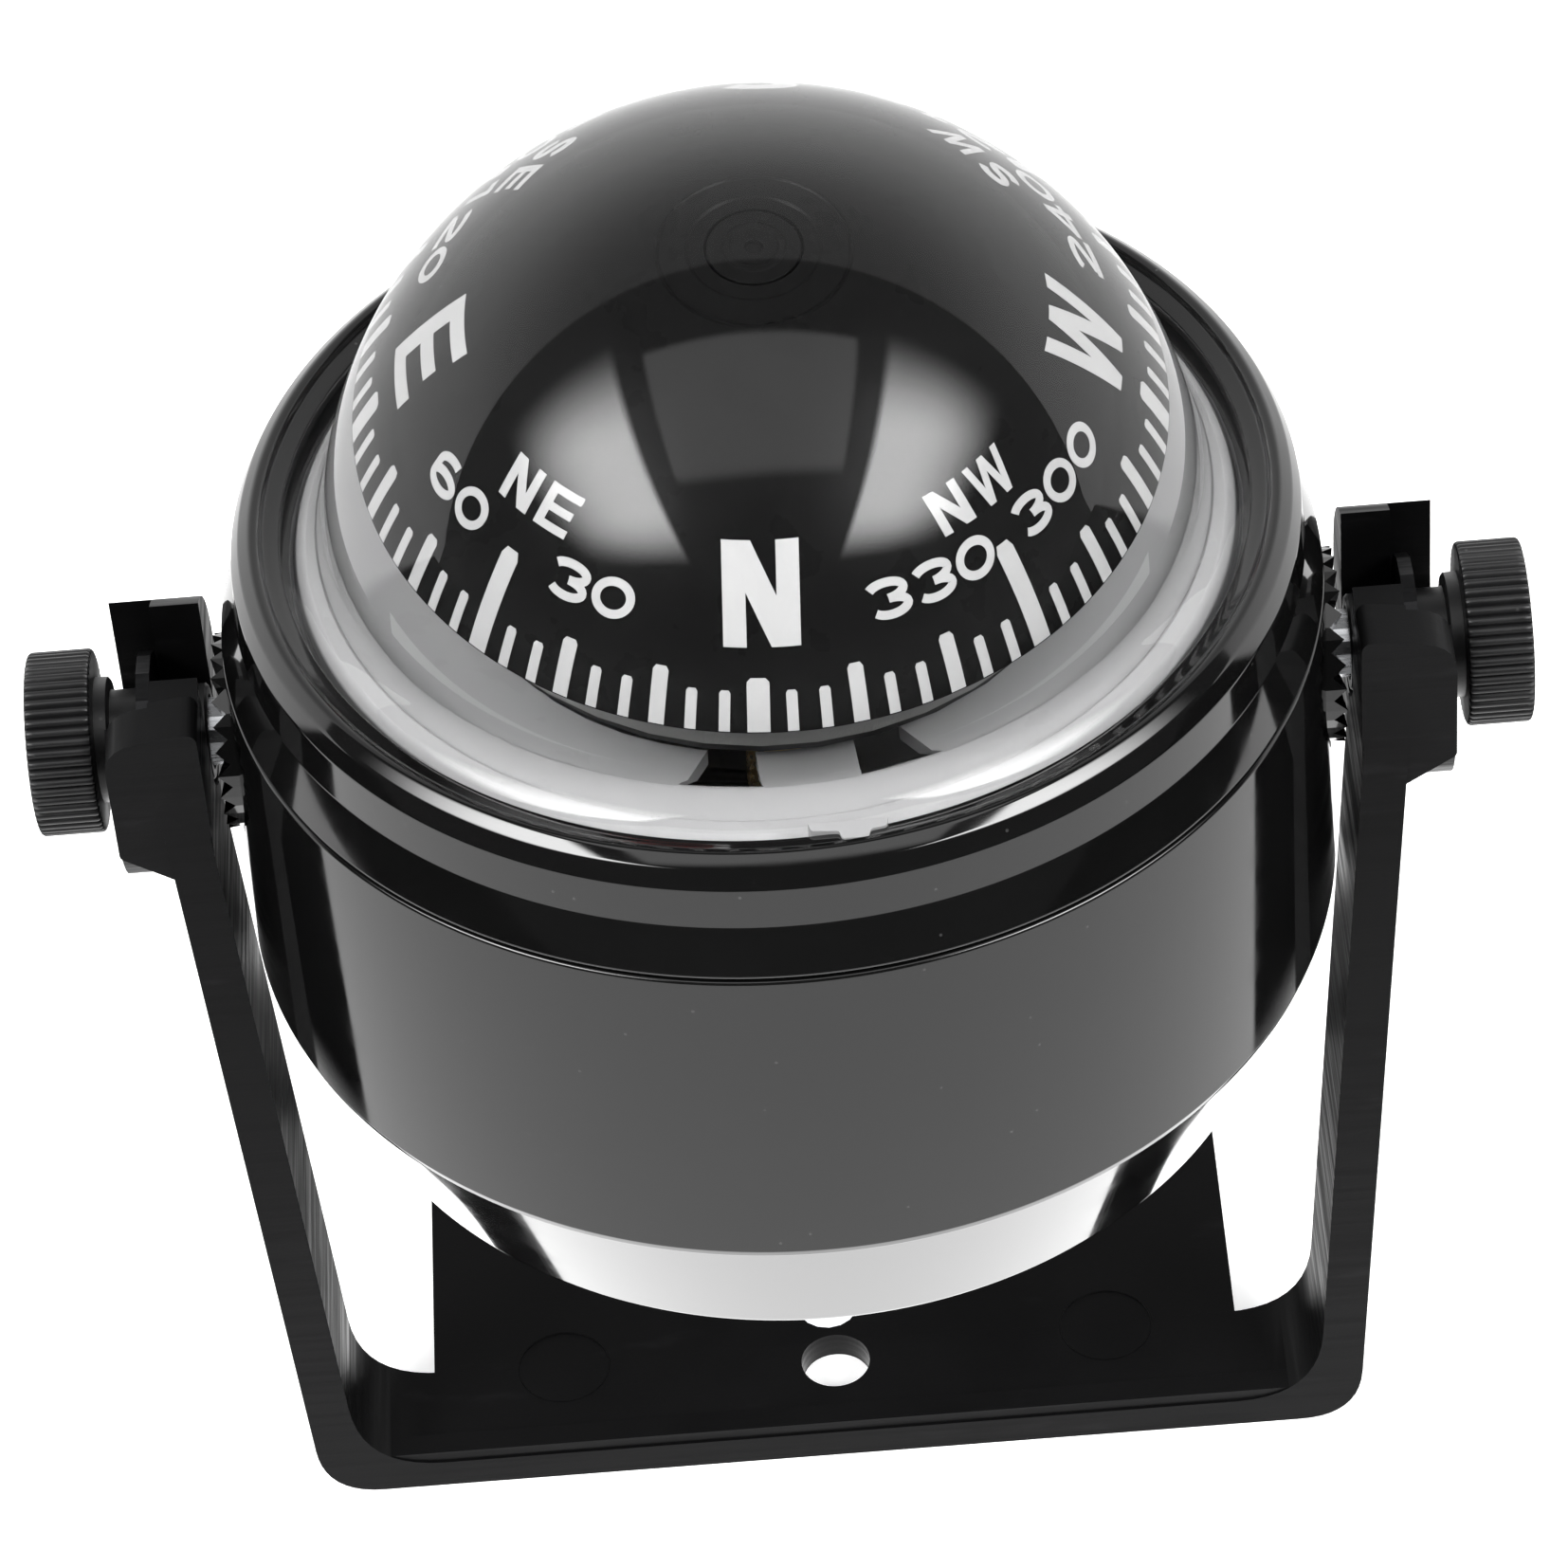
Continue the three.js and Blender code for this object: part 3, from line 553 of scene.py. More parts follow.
class Finish(Enum):
    """Every finish of the compass, with the record's slot it belongs to."""

    BRACKET = ("bracket_plastic", SawnSatin("satin bracket", (0.0035, 0.0035, 0.0037), 0.42))
    KNOB = ("knob_plastic", Moulded("knob plastic", (0.006, 0.006, 0.0063), 0.4, dust=0.03, specular=0.4))
    SATIN = ("satin_plastic", Moulded("satin plastic", (0.010, 0.010, 0.010), 0.5))
    CASE = ("case_plastic", Moulded("polished case", (0.003, 0.003, 0.003), 0.07, 0.03, 0.3, 2.2,
                                    0.002, dust=0.03, coat=0.35))
    PALE = ("pale_plastic", Moulded("pale moulding", (0.30, 0.30, 0.303), 0.32, 0.06, 0.05, 0.6,
                                    0.004, glow=0.25, specular=0.04))
    CARD = ("card_black", Moulded("card black", (0.003, 0.003, 0.003), 0.3, 0.04, 0.2, 0.5, 0.002,
                                  specular=0.06))
    PAINT = ("card_black", Moulded("card lettering", (0.33, 0.33, 0.33), 0.5, 0.08, 0.05, 0.2, 0.006,
                                   specular=0.1))
    RUBBER = ("black_rubber", Moulded("black rubber", (0.012, 0.012, 0.012), 0.8, 0.08, 0.3, 0.4, 0.02))
    FOAM = ("float_foam", Moulded("float foam", (0.20, 0.20, 0.198), 0.85, 0.05, 0.1, 0.35, 0.05))
    STEEL = ("steel", Metal("stainless steel", (0.60, 0.61, 0.63), 0.28))
    BLACKENED = ("steel", Metal("blackened steel", (0.022, 0.022, 0.023), 0.45))
    MAGNET = ("magnet", Metal("plated magnet", (0.28, 0.29, 0.31), 0.4, (1, 6, 1)))
    BRASS = ("brass", Metal("turned brass", (0.72, 0.53, 0.24), 0.3))
    JEWEL = ("jewel", Moulded("ruby jewel", (0.35, 0.02, 0.05), 0.08, 0.03, 0.2, 0.3, 0.001, coat=1.0))
    RED = ("red_plastic", Moulded("red mark", (0.55, 0.03, 0.02), 0.4, 0.06, 0.1, 0.3, 0.004))
    CLEAR = ("clear_acrylic", ClearFill("clear dome and liquid", 1.41))

    @property
    def slot(self) -> str:
        """The record's material slot."""
        return self.value[0]

    @property
    def material(self) -> bpy.types.Material:
        """The finish's material, made when first asked for."""
        made = bpy.data.materials.get(self.value[1].name)
        return made or self.value[1].make()


def dress(piece: bpy.types.Object, finish: Finish) -> bpy.types.Object:
    """Gives a piece its finish, in every material slot it has."""
    piece.data.materials.clear()
    piece.data.materials.append(finish.material)
    return piece


def settle(piece: bpy.types.Object, finish: Finish, body: str, *nodes: str) -> bpy.types.Object:
    """Finishes a piece, hangs it on its body and lets it stand for its nodes.

    Args:
        piece: The piece, in place.
        finish: Its finish.
        body: The body that carries it.
        nodes: The frame's nodes that it stands for.

    Returns:
        The same piece.
    """
    dress(piece, finish)
    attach(piece, body)
    if nodes:
        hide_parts(*nodes)
    log.info("%s on %s, %d faces", piece.name, body, len(piece.data.polygons))
    return piece


# ---- bracket ----------------------------------------------------------------------------------


@dataclass
class Bracket:
    """The U bracket: a front bar with two arms, a tongue, a rear foot and two slotted bosses."""

    thickness: float = 2.4
    lip_height: float = 3.4
    lip_width: float = 1.9
    front: float = -16.7
    bar_depth: float = 9.4
    tongue_half: float = 31.8
    foot_front: float = 25.0
    foot_back: float = 40.0
    foot_half_front: float = 38.0
    foot_half_back: float = 44.0
    hole_radius: float = 2.7
    holes: tuple[Point, ...] = ((0, -9), (-24, 33), (24, 33))
    arm_base: float = 40.9
    arm_flare: float = 0.07
    arm_lean: float = 0.0925
    arm_thickness: float = 3.3
    outer_corner: float = 5.0
    inner_corner: float = 7.0
    boss_inner: float = 41.9
    boss_outer: float = 48.8
    boss_radius: float = 10.0
    face_radius: float = 10.9
    face: float = 10.5
    recess_floor: float = 45.5
    recess_half: float = 6.8
    slot_half: float = 4.0
    chamfer_top: float = -2.2
    chamfer_bottom: float = -5.2
    inset: float = 0.04
    pins: tuple[Point, ...] = ((-21.5, -7.5), (21.5, -7.5), (-21.5, 12), (21.5, 12))
    pin_radius: float = 3.6
    pin_ridge: float = 0.22
    pin_sunk: float = 0.3
    pin_proud: float = 0.05

    def arm_outer(self, height: float) -> float:
        """The outer face of an arm at a height above the table."""
        return self.arm_base + self.arm_flare * (height - self.lip_height)

    def strap(self) -> Mesh:
        """The front bar and both arms, leaning back."""
        top = AXIS_HEIGHT
        half = [
            (self.arm_outer(0), 0, self.outer_corner),
            (self.arm_outer(top), top, 0),
            (self.arm_outer(top) - self.arm_thickness, top, 0),
            (self.arm_outer(self.thickness) - self.arm_thickness, self.thickness, self.inner_corner),
        ]
        other = [(-x, z, r) for x, z, r in reversed(half)]
        outline = rounded_outline(half + other, 10)
        maker = pulled(outline, self.front, self.front + self.bar_depth, flat_on_front)
        for vertex in maker.verts:
            vertex.co.y += self.arm_lean * vertex.co.z
        return maker

    def foot_outline(self, inset: float) -> Points:
        """The rear foot in plan, drawn in by an inset."""
        front, back = self.foot_front + inset, self.foot_back - inset
        return rounded_outline([
            (-self.foot_half_front + inset, front, 4),
            (self.foot_half_front - inset, front, 4),
            (self.foot_half_back - inset, back, 4),
            (-self.foot_half_back + inset, back, 4),
        ], 8)

    def tools(self) -> list[tuple[str, Mesh]]:
        """What is joined to the strap and cut from it, in order."""
        half, lip = self.tongue_half, self.lip_width
        lip_half = self.arm_base - self.outer_corner
        lip_front = self.front + self.arm_lean * self.lip_height + 0.1
        joined = [
            box_mesh((-lip_half, lip_front, 1), (lip_half, lip_front + lip, self.lip_height)),
            box_mesh((-half, self.front + 1, self.inset),
                     (half, self.foot_front + 1, self.thickness - self.inset)),
            pulled(self.foot_outline(0), 0, self.lip_height, flat_on_plan),
        ]
        tray = pulled(self.foot_outline(lip), self.thickness, self.lip_height + 1, flat_on_plan)
        gate = box_mesh((-half + 3, self.foot_front - 1, self.thickness),
                        (half - 3, self.foot_front + lip + 1, self.lip_height + 1))
        steps = [("UNION", tool) for tool in joined]
        steps += [("DIFFERENCE", tray), ("DIFFERENCE", gate)]
        for x, y in self.holes:
            steps.append(("DIFFERENCE", rod_mesh(self.hole_radius, Vector((x, y, -2)), Vector((x, y, 6)))))
        for side in Side:
            steps += self.boss(side)
        return steps

    def boss(self, side: Side) -> list[tuple[str, Mesh]]:
        """The round boss, its flat front block and its open slot, on one side."""
        s = side.value
        z = AXIS_HEIGHT
        inside = self.arm_outer(z + self.chamfer_bottom) - 0.6
        front = [
            (self.boss_inner, -self.face_radius + 1.5, 1.2),
            (inside, -self.face_radius + 1.5, 0),
            (inside, self.chamfer_bottom, 0),
            (self.boss_outer, self.chamfer_top, 0.6),
            (self.boss_outer, self.face_radius - 2.2, 3),
            (self.boss_inner, self.face_radius - 1.2, 1),
        ]
        outline = [(s * x, z + h) for x, h in rounded_outline(front, 5)]
        block = pulled(outline, -self.face, -self.recess_half + 0.5, flat_on_front)
        drum = rod_mesh(self.boss_radius, Vector((s * self.boss_inner, 0, z)),
                        Vector((s * self.boss_outer, 0, z)), 96)
        steps = [("UNION", drum), ("UNION", block)]
        for half, start, end in ((self.slot_half, self.boss_inner - 4, self.boss_outer + 1),
                                 (self.recess_half, self.recess_floor, self.boss_outer + 1)):
            low, high = sorted((s * start, s * end))
            steps.append(("DIFFERENCE", rod_mesh(half, Vector((low, 0, z)), Vector((high, 0, z)))))
            steps.append(("DIFFERENCE", box_mesh((low, -half + 0.002, z), (high, half - 0.002, z + 14))))
        return steps

    def build(self) -> None:
        """Builds the bracket and its moulding marks."""
        maker = combine(self.strap(), self.tools())
        piece = new_object("bracket_body", maker, 40)
        soften(piece, 0.3, 2, 38)
        settle(piece, Finish.BRACKET, "bracket", "bracket")
        self.moulding_marks()

    def moulding_marks(self) -> None:
        """Faint round marks that the mould's pins leave on the tongue."""
        marks = bmesh.new()
        radius, ridge, low = self.pin_radius, self.pin_ridge, self.thickness - self.pin_sunk
        outline = [(radius - ridge, low), (radius + ridge, low), (radius, self.thickness + self.pin_proud)]
        for x, y in self.pins:
            ring = turned(outline, segments=64)
            bmesh.ops.translate(ring, vec=(x, y, 0), verts=ring.verts)
            scratch = bpy.data.meshes.new("ring")
            ring.to_mesh(scratch)
            ring.free()
            marks.from_mesh(scratch)
            bpy.data.meshes.remove(scratch)
        settle(new_object("bracket_pin_marks", marks), Finish.BRACKET, "bracket")


# ---- case, bezel, ring and dome ---------------------------------------------------------------


@dataclass
class CaseBody:
    """The round case: a barrel with a tapered underside and the bezel that closes it."""

    top_radius: float = 40.1
    top: float = 9.9
    edge_radius: float = 40.7
    edge: float = -16.9
    taper_radius: float = 35.6
    taper_end: float = -30.0
    bottom_radius: float = 33.0
    bottom: float = -32.5
    mouth: float = 29.0
    wall: float = 2.2
    pocket_radius: float = 7.6
    pocket_floor: float = 38.2
    insert_hole: float = 4.3
    insert_inner: float = 30.5
    compensators: tuple[tuple[float, float], ...] = ((-22.8, 90.0), (-18.2, 0.0))
    compensator_hole: float = 2.7
    compensator_start: float = 30.0
    compensator_end: float = 44.0
    insert_boss: float = 6.4
    boss_sink: float = 1.1

    def barrel_outline(self) -> Points:
        """The barrel's section, with heights from the axis."""
        return rounded_outline([
            (self.mouth, self.bottom, 0.3),
            (self.bottom_radius, self.bottom, 1.6),
            (self.taper_radius, self.taper_end, 1.6),
            (self.edge_radius - 0.5, self.edge - 0.9, 0.25),
            (self.edge_radius - 0.15, self.edge - 0.55, 0.2),
            (self.edge_radius, self.edge, 0.35),
            (self.top_radius, self.top, 0.3),
            (self.top_radius - self.wall, self.top, 0.2),
            (self.edge_radius - self.wall, self.edge, 1),
            (self.taper_radius - self.wall, self.taper_end + self.wall, 1),
            (self.mouth, self.taper_end + self.wall, 0.2),
        ], 4)

    def barrel(self) -> bpy.types.Object:
        """The barrel with the pockets and bosses for the side studs."""
        steps = []
        boss_end = self.top_radius - self.boss_sink
        for side in Side:
            s = side.value
            for operation, radius, start, end in (
                ("UNION", self.pocket_radius + self.wall, self.pocket_floor - self.wall, boss_end),
                ("UNION", self.insert_boss, self.insert_inner, boss_end),
                ("DIFFERENCE", self.pocket_radius, self.pocket_floor, self.top_radius + 3),
                ("DIFFERENCE", self.insert_hole, self.insert_inner - 1, self.top_radius + 3),
            ):
                rod = rod_mesh(radius, Vector((s * start, 0, 0)), Vector((s * end, 0, 0)), 72)
                steps.append((operation, rod))
        for height, bearing in self.compensators:
            way = Vector((math.cos(math.radians(bearing)), math.sin(math.radians(bearing)), 0))
            rise = Vector((0, 0, height))
            start, end = way * self.compensator_start + rise, way * self.compensator_end + rise
            steps.append(("DIFFERENCE", rod_mesh(self.compensator_hole, start, end, 40)))
        maker = raise_to_axis(combine(turned(self.barrel_outline(), segments=224), steps))
        return new_object("case_barrel", maker, 32)

    def build(self) -> None:
        """Builds the barrel and the bezel."""
        settle(self.barrel(), Finish.CASE, "housing", "case_shell")
        Bezel().build()


@dataclass
class Bezel:
    """The ring that clamps the dome: a slanted skirt, two ridges and a dusty inner land."""

    skirt: float = 10.2
    skirt_radius: float = 40.1
    lip_radius: float = 34.9
    flange_top: float = 17.7
    flange_radius: float = 36.3

    def outline(self) -> Points:
        """The bezel's section, with heights from the axis."""
        return rounded_outline([
            (self.skirt_radius - 2.2, self.skirt, 0),
            (self.skirt_radius, self.skirt, 0.2),
            (38.75, 13.95, 0.5),
            (38.55, 17.3, 0.8),
            (37.9, 18.65, 0.8),
            (37.0, 19.4, 0.7),
            (36.4, 19.3, 0.4),
            (36.1, 18.85, 0.3),
            (35.6, 18.75, 0.2),
            (self.lip_radius, 18.6, 0.2),
            (self.lip_radius, self.flange_top, 0),
            (self.flange_radius, self.flange_top, 0),
            (self.flange_radius, self.skirt + 1, 0),
            (self.skirt_radius - 2.2, self.skirt + 1, 0),
        ], 5)

    def build(self) -> None:
        """Builds the bezel."""
        maker = raise_to_axis(turned(self.outline(), segments=256))
        settle(new_object("bezel", maker, 40), Finish.CASE, "housing", "bezel_ring")


@dataclass
class DomeAndRing:
    """The clear dome, drawn as one solid with the liquid under it, and the pale ring inside."""

    centre: float = 15.8
    radius: float = 32.0
    flange_radius: float = 36.0
    flange_bottom: float = 15.4
    flange_top: float = 17.4
    neck: float = 34.6
    seat: float = 33.9
    seat_bottom: float = 13.0
    bowl_centre: float = 17.2
    bowl_middle: float = 30.2
    floor: float = -11.3
    floor_radius: float = 14.5
    ring_outer: float = 33.6
    ring_inner: float = 24.2
    ring_bottom: float = 14.2
    ring_top: float = 15.1
    ring_lip: float = 16.6
    lip_inner: float = 29.6
    tab_place: float = 4.7
    tab_top: float = 18.95
    pointer_reach: float = 29.8
    pointer_top: float = 29.0
    pointer_bearing: float = 94.0

    def clear_outline(self) -> Points:
        """The section of the dome and the liquid, which fills the bowl to the middle of its wall."""
        low = -math.degrees(math.acos(self.floor_radius / self.bowl_middle))
        high = -math.degrees(math.asin((self.bowl_centre - self.seat_bottom) / self.bowl_middle))
        return [
            (0, self.floor),
            *arc(self.bowl_middle, (0, self.bowl_centre), low, high, 24),
            (self.seat, self.seat_bottom),
            (self.seat, self.flange_bottom),
            (self.flange_radius, self.flange_bottom),
            (self.flange_radius, self.flange_top),
            (self.neck, self.flange_top),
            (self.seat, 17.6),
            (33.2, 18.1),
            (32.5, 19.0),
            *arc(self.radius, (0, self.centre), 8, 89, 64),
            (0, self.centre + self.radius),
        ]

    def ring_outline(self) -> Points:
        """The pale ring's section."""
        return rounded_outline([
            (self.ring_inner, self.ring_bottom, 0.2),
            (self.ring_outer, self.ring_bottom, 0.2),
            (self.ring_outer, self.ring_top + 1.2, 0.3),
            (self.ring_outer - 1.2, self.ring_lip, 0.6),
            (self.lip_inner + 1, self.ring_lip - 0.3, 0.5),
            (self.lip_inner, self.ring_top, 0.3),
            (self.ring_inner, self.ring_top - 0.2, 0.2),
        ], 5)

    def build(self) -> None:
        """Builds the clear solid and the ring."""
        clear = raise_to_axis(turned(self.clear_outline(), segments=256))
        settle(new_object("dome_and_liquid", clear, 50), Finish.CLEAR, "housing", "dome")
        ring = raise_to_axis(turned(self.ring_outline(), segments=192))
        settle(new_object("pale_ring", ring), Finish.PALE, "housing", "inner_ring")
        self.build_tab()
        self.build_pointer()

    def build_tab(self) -> None:
        """Builds the small moulded tab that shows between the dome and the bezel."""
        outline = rounded_outline([
            (self.tab_place - 3.2, -34.0, 0),
            (self.tab_place - 3.0, -34.75, 0.3),
            (self.tab_place - 1.1, -34.95, 0.3),
            (self.tab_place - 0.9, -35.7, 0.25),
            (self.tab_place + 0.9, -35.7, 0.25),
            (self.tab_place + 1.1, -34.95, 0.3),
            (self.tab_place + 2.2, -34.75, 0.3),
            (self.tab_place + 2.3, -34.0, 0),
        ], 4)
        tab = raise_to_axis(pulled(outline, self.flange_top + 0.05, self.tab_top, flat_on_plan))
        settle(new_object("ring_tab", tab), Finish.PALE, "housing")

    def build_pointer(self) -> None:
        """Builds the red mark that follows the inside of the dome on its far side."""
        outer = arc(self.pointer_reach, (0, self.centre), -1, self.pointer_top, 14)
        inner = arc(self.pointer_reach - 0.6, (0, self.centre), self.pointer_top, -1, 14)
        turn = Matrix.Rotation(math.radians(self.pointer_bearing), 3, "Z")

        def place(reach: float, height: float, across: float) -> Vector:
            """Puts a point of the pointer's section at its bearing."""
            return turn @ Vector((reach, across, height))

        pointer = raise_to_axis(pulled([*outer, *inner], -0.5, 0.5, place))
        settle(new_object("lubber_pointer", pointer), Finish.RED, "housing", "lubber_post")


# ---- the card ---------------------------------------------------------------------------------


Strip = tuple[Points, Points]


def bar(start: Point, end: Point, width: float, steps: int = 8) -> Strip:
    """An upright or slanted bar of a letter, whose ends are cut level.

    Args:
        start: The middle of its lower end.
        end: The middle of its upper end.
        width: Its width along the line of writing.
        steps: Steps along it.

    Returns:
        Its two side lines.
    """
    left, right = [], []
    for i in range(steps + 1):
        t = i / steps
        x = start[0] + (end[0] - start[0]) * t
        y = start[1] + (end[1] - start[1]) * t
        left.append((x - width / 2, y))
        right.append((x + width / 2, y))
    return left, right


def level(x0: float, x1: float, y: float, width: float, steps: int = 6) -> Strip:
    """A level bar of a letter between two places, at a height."""
    xs = [x0 + (x1 - x0) * i / steps for i in range(steps + 1)]
    return [(x, y + width / 2) for x in xs], [(x, y - width / 2) for x in xs]


def ribbon(path: Outline, width: float) -> Strip:
    """A stroke of even width along a path."""
    left, right = [], []
    last = len(path) - 1
    for i, (x, y) in enumerate(path):
        ahead, behind = Vector(path[min(i + 1, last)]), Vector(path[max(i - 1, 0)])
        along = (ahead - behind).normalized()
        left.append((x - along.y * width / 2, y + along.x * width / 2))
        right.append((x + along.y * width / 2, y - along.x * width / 2))
    return left, right


def oval(cx: float, cy: float, rx: float, ry: float, start: float, end: float, steps: int = 20) -> Points:
    """Points on an oval from one angle to another, in degrees."""
    angles = [math.radians(start + (end - start) * i / steps) for i in range(steps + 1)]
    return [(cx + rx * math.cos(a), cy + ry * math.sin(a)) for a in angles]


@dataclass(frozen=True)
class Alphabet:
    """The card's letters and figures, each as side-by-side strips in a box one unit high.

    Letters stand on height 0 and reach height 1. The width is in the same units.
    """

    width: float
    stroke: float

    def strips(self, sign: str) -> list[Strip]:
        """The strips of one letter or figure."""
        w, t = self.width, self.stroke
        mid = w / 2
        low, high = t / 2, 1 - t / 2
        loop = (1 - t) / 4
        if sign == "N":
            slant = t * 1.25
            return [bar((low, 0), (low, 1), t), bar((w - low, 0), (w - low, 1), t),
                    bar((w - slant / 2, 0), (slant / 2, 1), slant)]
        if sign == "E":
            return [bar((low, 0), (low, 1), t), level(t * 0.9, w, low * 0.85, t * 0.85),
                    level(t * 0.9, w, 1 - low * 0.85, t * 0.85), level(t * 0.9, w * 0.93, 0.5, t * 0.85)]
        if sign == "W":
            slant, foot = t * 0.78, w * 0.26
            return [bar((foot, 0), (slant / 2, 1), slant), bar((foot, 0), (mid, 1), slant),
                    bar((w - foot, 0), (mid, 1), slant), bar((w - foot, 0), (w - slant / 2, 1), slant)]
        if sign == "S":
            upper = oval(mid, 0.5 + loop, mid - low, loop, 25, 270, 18)
            lower = oval(mid, 0.5 - loop, mid - low, loop, 90, -155, 18)
            return [ribbon(upper + lower[1:], t)]
        if sign == "0":
            ring = oval(mid, 0.5, mid - low, 0.5 - low, 0, 360, 36)
            return [ribbon([*ring, ring[1]], t)]
        if sign == "1":
            return [bar((mid + low, 0), (mid + low, 1), t),
                    ribbon([(mid * 0.35, 0.72), (mid + low, 1 - low)], t)]
        if sign == "2":
            top = oval(mid, 0.70, mid - low, 0.30 - low, 165, -35, 18)
            return [ribbon([*top, (low * 1.3, t * 0.9)], t), level(0, w, low, t)]
        if sign == "3":
            upper = oval(mid, 0.5 + loop, mid - low, loop, 155, -90, 18)
            lower = oval(mid, 0.5 - loop, mid - low, loop, 90, -155, 18)
            return [ribbon(upper, t), ribbon(lower, t)]
        if sign == "4":
            return [bar((w * 0.72, 0), (w * 0.72, 1), t), level(0, w, 0.27, t * 0.9),
                    ribbon([(low, 0.27), (w * 0.70, 1 - low)], t)]
        if sign == "5":
            bowl = oval(mid, 0.33, mid - low, 0.33 - low, 125, -155, 20)
            return [level(t, w * 0.92, high, t), bar((low * 1.5, 0.46), (low * 1.9, 1), t), ribbon(bowl, t)]
        ring = oval(mid, 0.315, mid - low, 0.315 - low, 0, 360, 30)
        tail = [(low, 0.36), *oval(mid * 1.05, 0.62, mid * 1.05 - low, 0.38 - low, 168, 62, 12)]
        return [ribbon([*ring, ring[1]], t), ribbon(tail, t)]


@dataclass
class Legend:
    """One kind of lettering on the card: its place, its size and its words."""

    words: dict[str, float]
    latitude: float
    height: float
    width: float
    stroke: float
    gap: float


@dataclass
class CompassCard:
    """The floating card: a domed black cap, its scale and letters, and the hub at its crown."""

    radius: float = 27.5
    wall: float = 0.8
    rim: float = 19.0
    dome_centre: float = 15.8
    tip_rise: float = 4.0
    dip: float = 7.0
    heel: float = 2.0
    heading: float = -3.2
    paint: float = 0.05
    hub_radius: float = 3.1
    hub_hole: float = 3.25
    crown_edge: float = 76.2
    step_rise: float = 0.12
    legends: list[Legend] = field(default_factory=lambda: [
        Legend({"N": 0.8, "E": -90, "S": 180, "W": 91.0}, 39.1, 7.1, 0.715, 0.215, 0.2),
        Legend({"NE": -45, "NW": 45, "SE": -135, "SW": 135}, 43.5, 3.05, 0.86, 0.22, 0.24),
        Legend({"30": -29, "60": -60.5, "120": -120, "150": -150,
                "210": 150, "240": 120, "300": 61.5, "330": 31.0}, 35.6, 2.8, 1.08, 0.215, 0.1),
    ])
    tick_top: dict[int, float] = field(default_factory=lambda: {5: 25.4, 15: 28.0, 45: 35.2, 90: 27.3})
    tick_width: dict[int, float] = field(default_factory=lambda: {5: 0.74, 15: 1.05, 45: 1.4, 90: 1.5})

    def lie(self, maker: Mesh) -> Mesh:
        """Leans a mesh made about the card's own upright axis, with the card's centre as its origin."""
        turn = (Matrix.Rotation(math.radians(self.dip), 4, "X")
                @ Matrix.Rotation(math.radians(self.heel), 4, "Y")
                @ Matrix.Rotation(math.radians(self.heading), 4, "Z"))
        tip = Vector((0, 0, AXIS_HEIGHT + self.dome_centre + self.tip_rise))
        matrix = Matrix.Translation(tip) @ turn @ Matrix.Translation((0, 0, -self.tip_rise))
        bmesh.ops.transform(maker, matrix=matrix, verts=maker.verts)
        return maker

    def on_card(self, latitude: float, bearing: float, rise: float) -> Vector:
        """A point on the card's face. Both angles are in degrees."""
        up, round_ = math.radians(latitude), math.radians(bearing)
        reach = self.radius + rise
        return Vector((reach * math.cos(up) * math.sin(round_), -reach * math.cos(up) * math.cos(round_),
                       reach * math.sin(up)))

    def cap_outline(self) -> Points:
        """The card's section about its own centre, with shallow turned steps round the hub."""
        hole = math.degrees(math.acos(self.hub_hole / self.radius))
        outer = arc(self.radius, (0, 0), self.rim, self.crown_edge, 48)
        lift = self.step_rise
        crown = []
        for reach, rise in ((6.5, 0), (6.35, lift), (6.2, 0), (4.5, 0), (4.3, -lift), (3.3, -lift)):
            angle = math.acos(reach / self.radius)
            crown.append(((self.radius + rise) * math.cos(angle), (self.radius + rise) * math.sin(angle)))
        inner = arc(self.radius - self.wall, (0, 0), hole, self.rim + 0.4, 30)
        return [*outer, *crown, *inner]

    def add_strip(self, maker: Mesh, strip: Strip, place: Place) -> None:
        """Adds one strip of paint to a mesh.

        Args:
            maker: The mesh.
            strip: Its two side lines.
            place: Puts a point of the writing on the card, at a height above it.
        """
        sunk, proud, across = -0.03, self.paint, 3
        rows = []
        for (ax, ay), (bx, by) in zip(*strip):
            line = [(ax + (bx - ax) * k / across, ay + (by - ay) * k / across) for k in range(across + 1)]
            rows.append(([maker.verts.new(place(x, y, sunk)) for x, y in line],
                         [maker.verts.new(place(x, y, proud)) for x, y in line]))
        for (low0, high0), (low1, high1) in zip(rows, rows[1:]):
            for k in range(across):
                maker.faces.new((low0[k], low0[k + 1], low1[k + 1], low1[k]))
                maker.faces.new((high0[k], high1[k], high1[k + 1], high0[k + 1]))
            maker.faces.new((low0[0], low1[0], high1[0], high0[0]))
            maker.faces.new((low0[-1], high0[-1], high1[-1], low1[-1]))
        for low, high in (rows[0], rows[-1]):
            for k in range(across):
                maker.faces.new((low[k], high[k], high[k + 1], low[k + 1]))

    def write(self, maker: Mesh, legend: Legend, word: str, bearing: float) -> None:
        """Writes one word on the card, its letters' tops towards the crown."""
        alphabet = Alphabet(legend.width, legend.stroke)
        widths = [legend.width * (1.25 if sign == "W" and len(word) > 1 else 1.0) for sign in word]
        total = sum(widths) + legend.gap * (len(word) - 1)
        start = -total / 2
        for sign, width in zip(word, widths):
            letters = alphabet if width == legend.width else Alphabet(width, legend.stroke)
            if sign == "W" and len(word) == 1:
                letters = Alphabet(legend.width * 1.3, legend.stroke)
                start -= legend.width * 0.15

            def place(x: float, y: float, rise: float, start: float = start) -> Vector:
                """Puts a point of this letter on the card."""
                latitude = legend.latitude + math.degrees((y - 0.5) * legend.height / self.radius)
                reach = self.radius * math.cos(math.radians(latitude))
                turn = bearing + math.degrees((start + x) * legend.height / reach)
                return self.on_card(latitude, turn, rise)

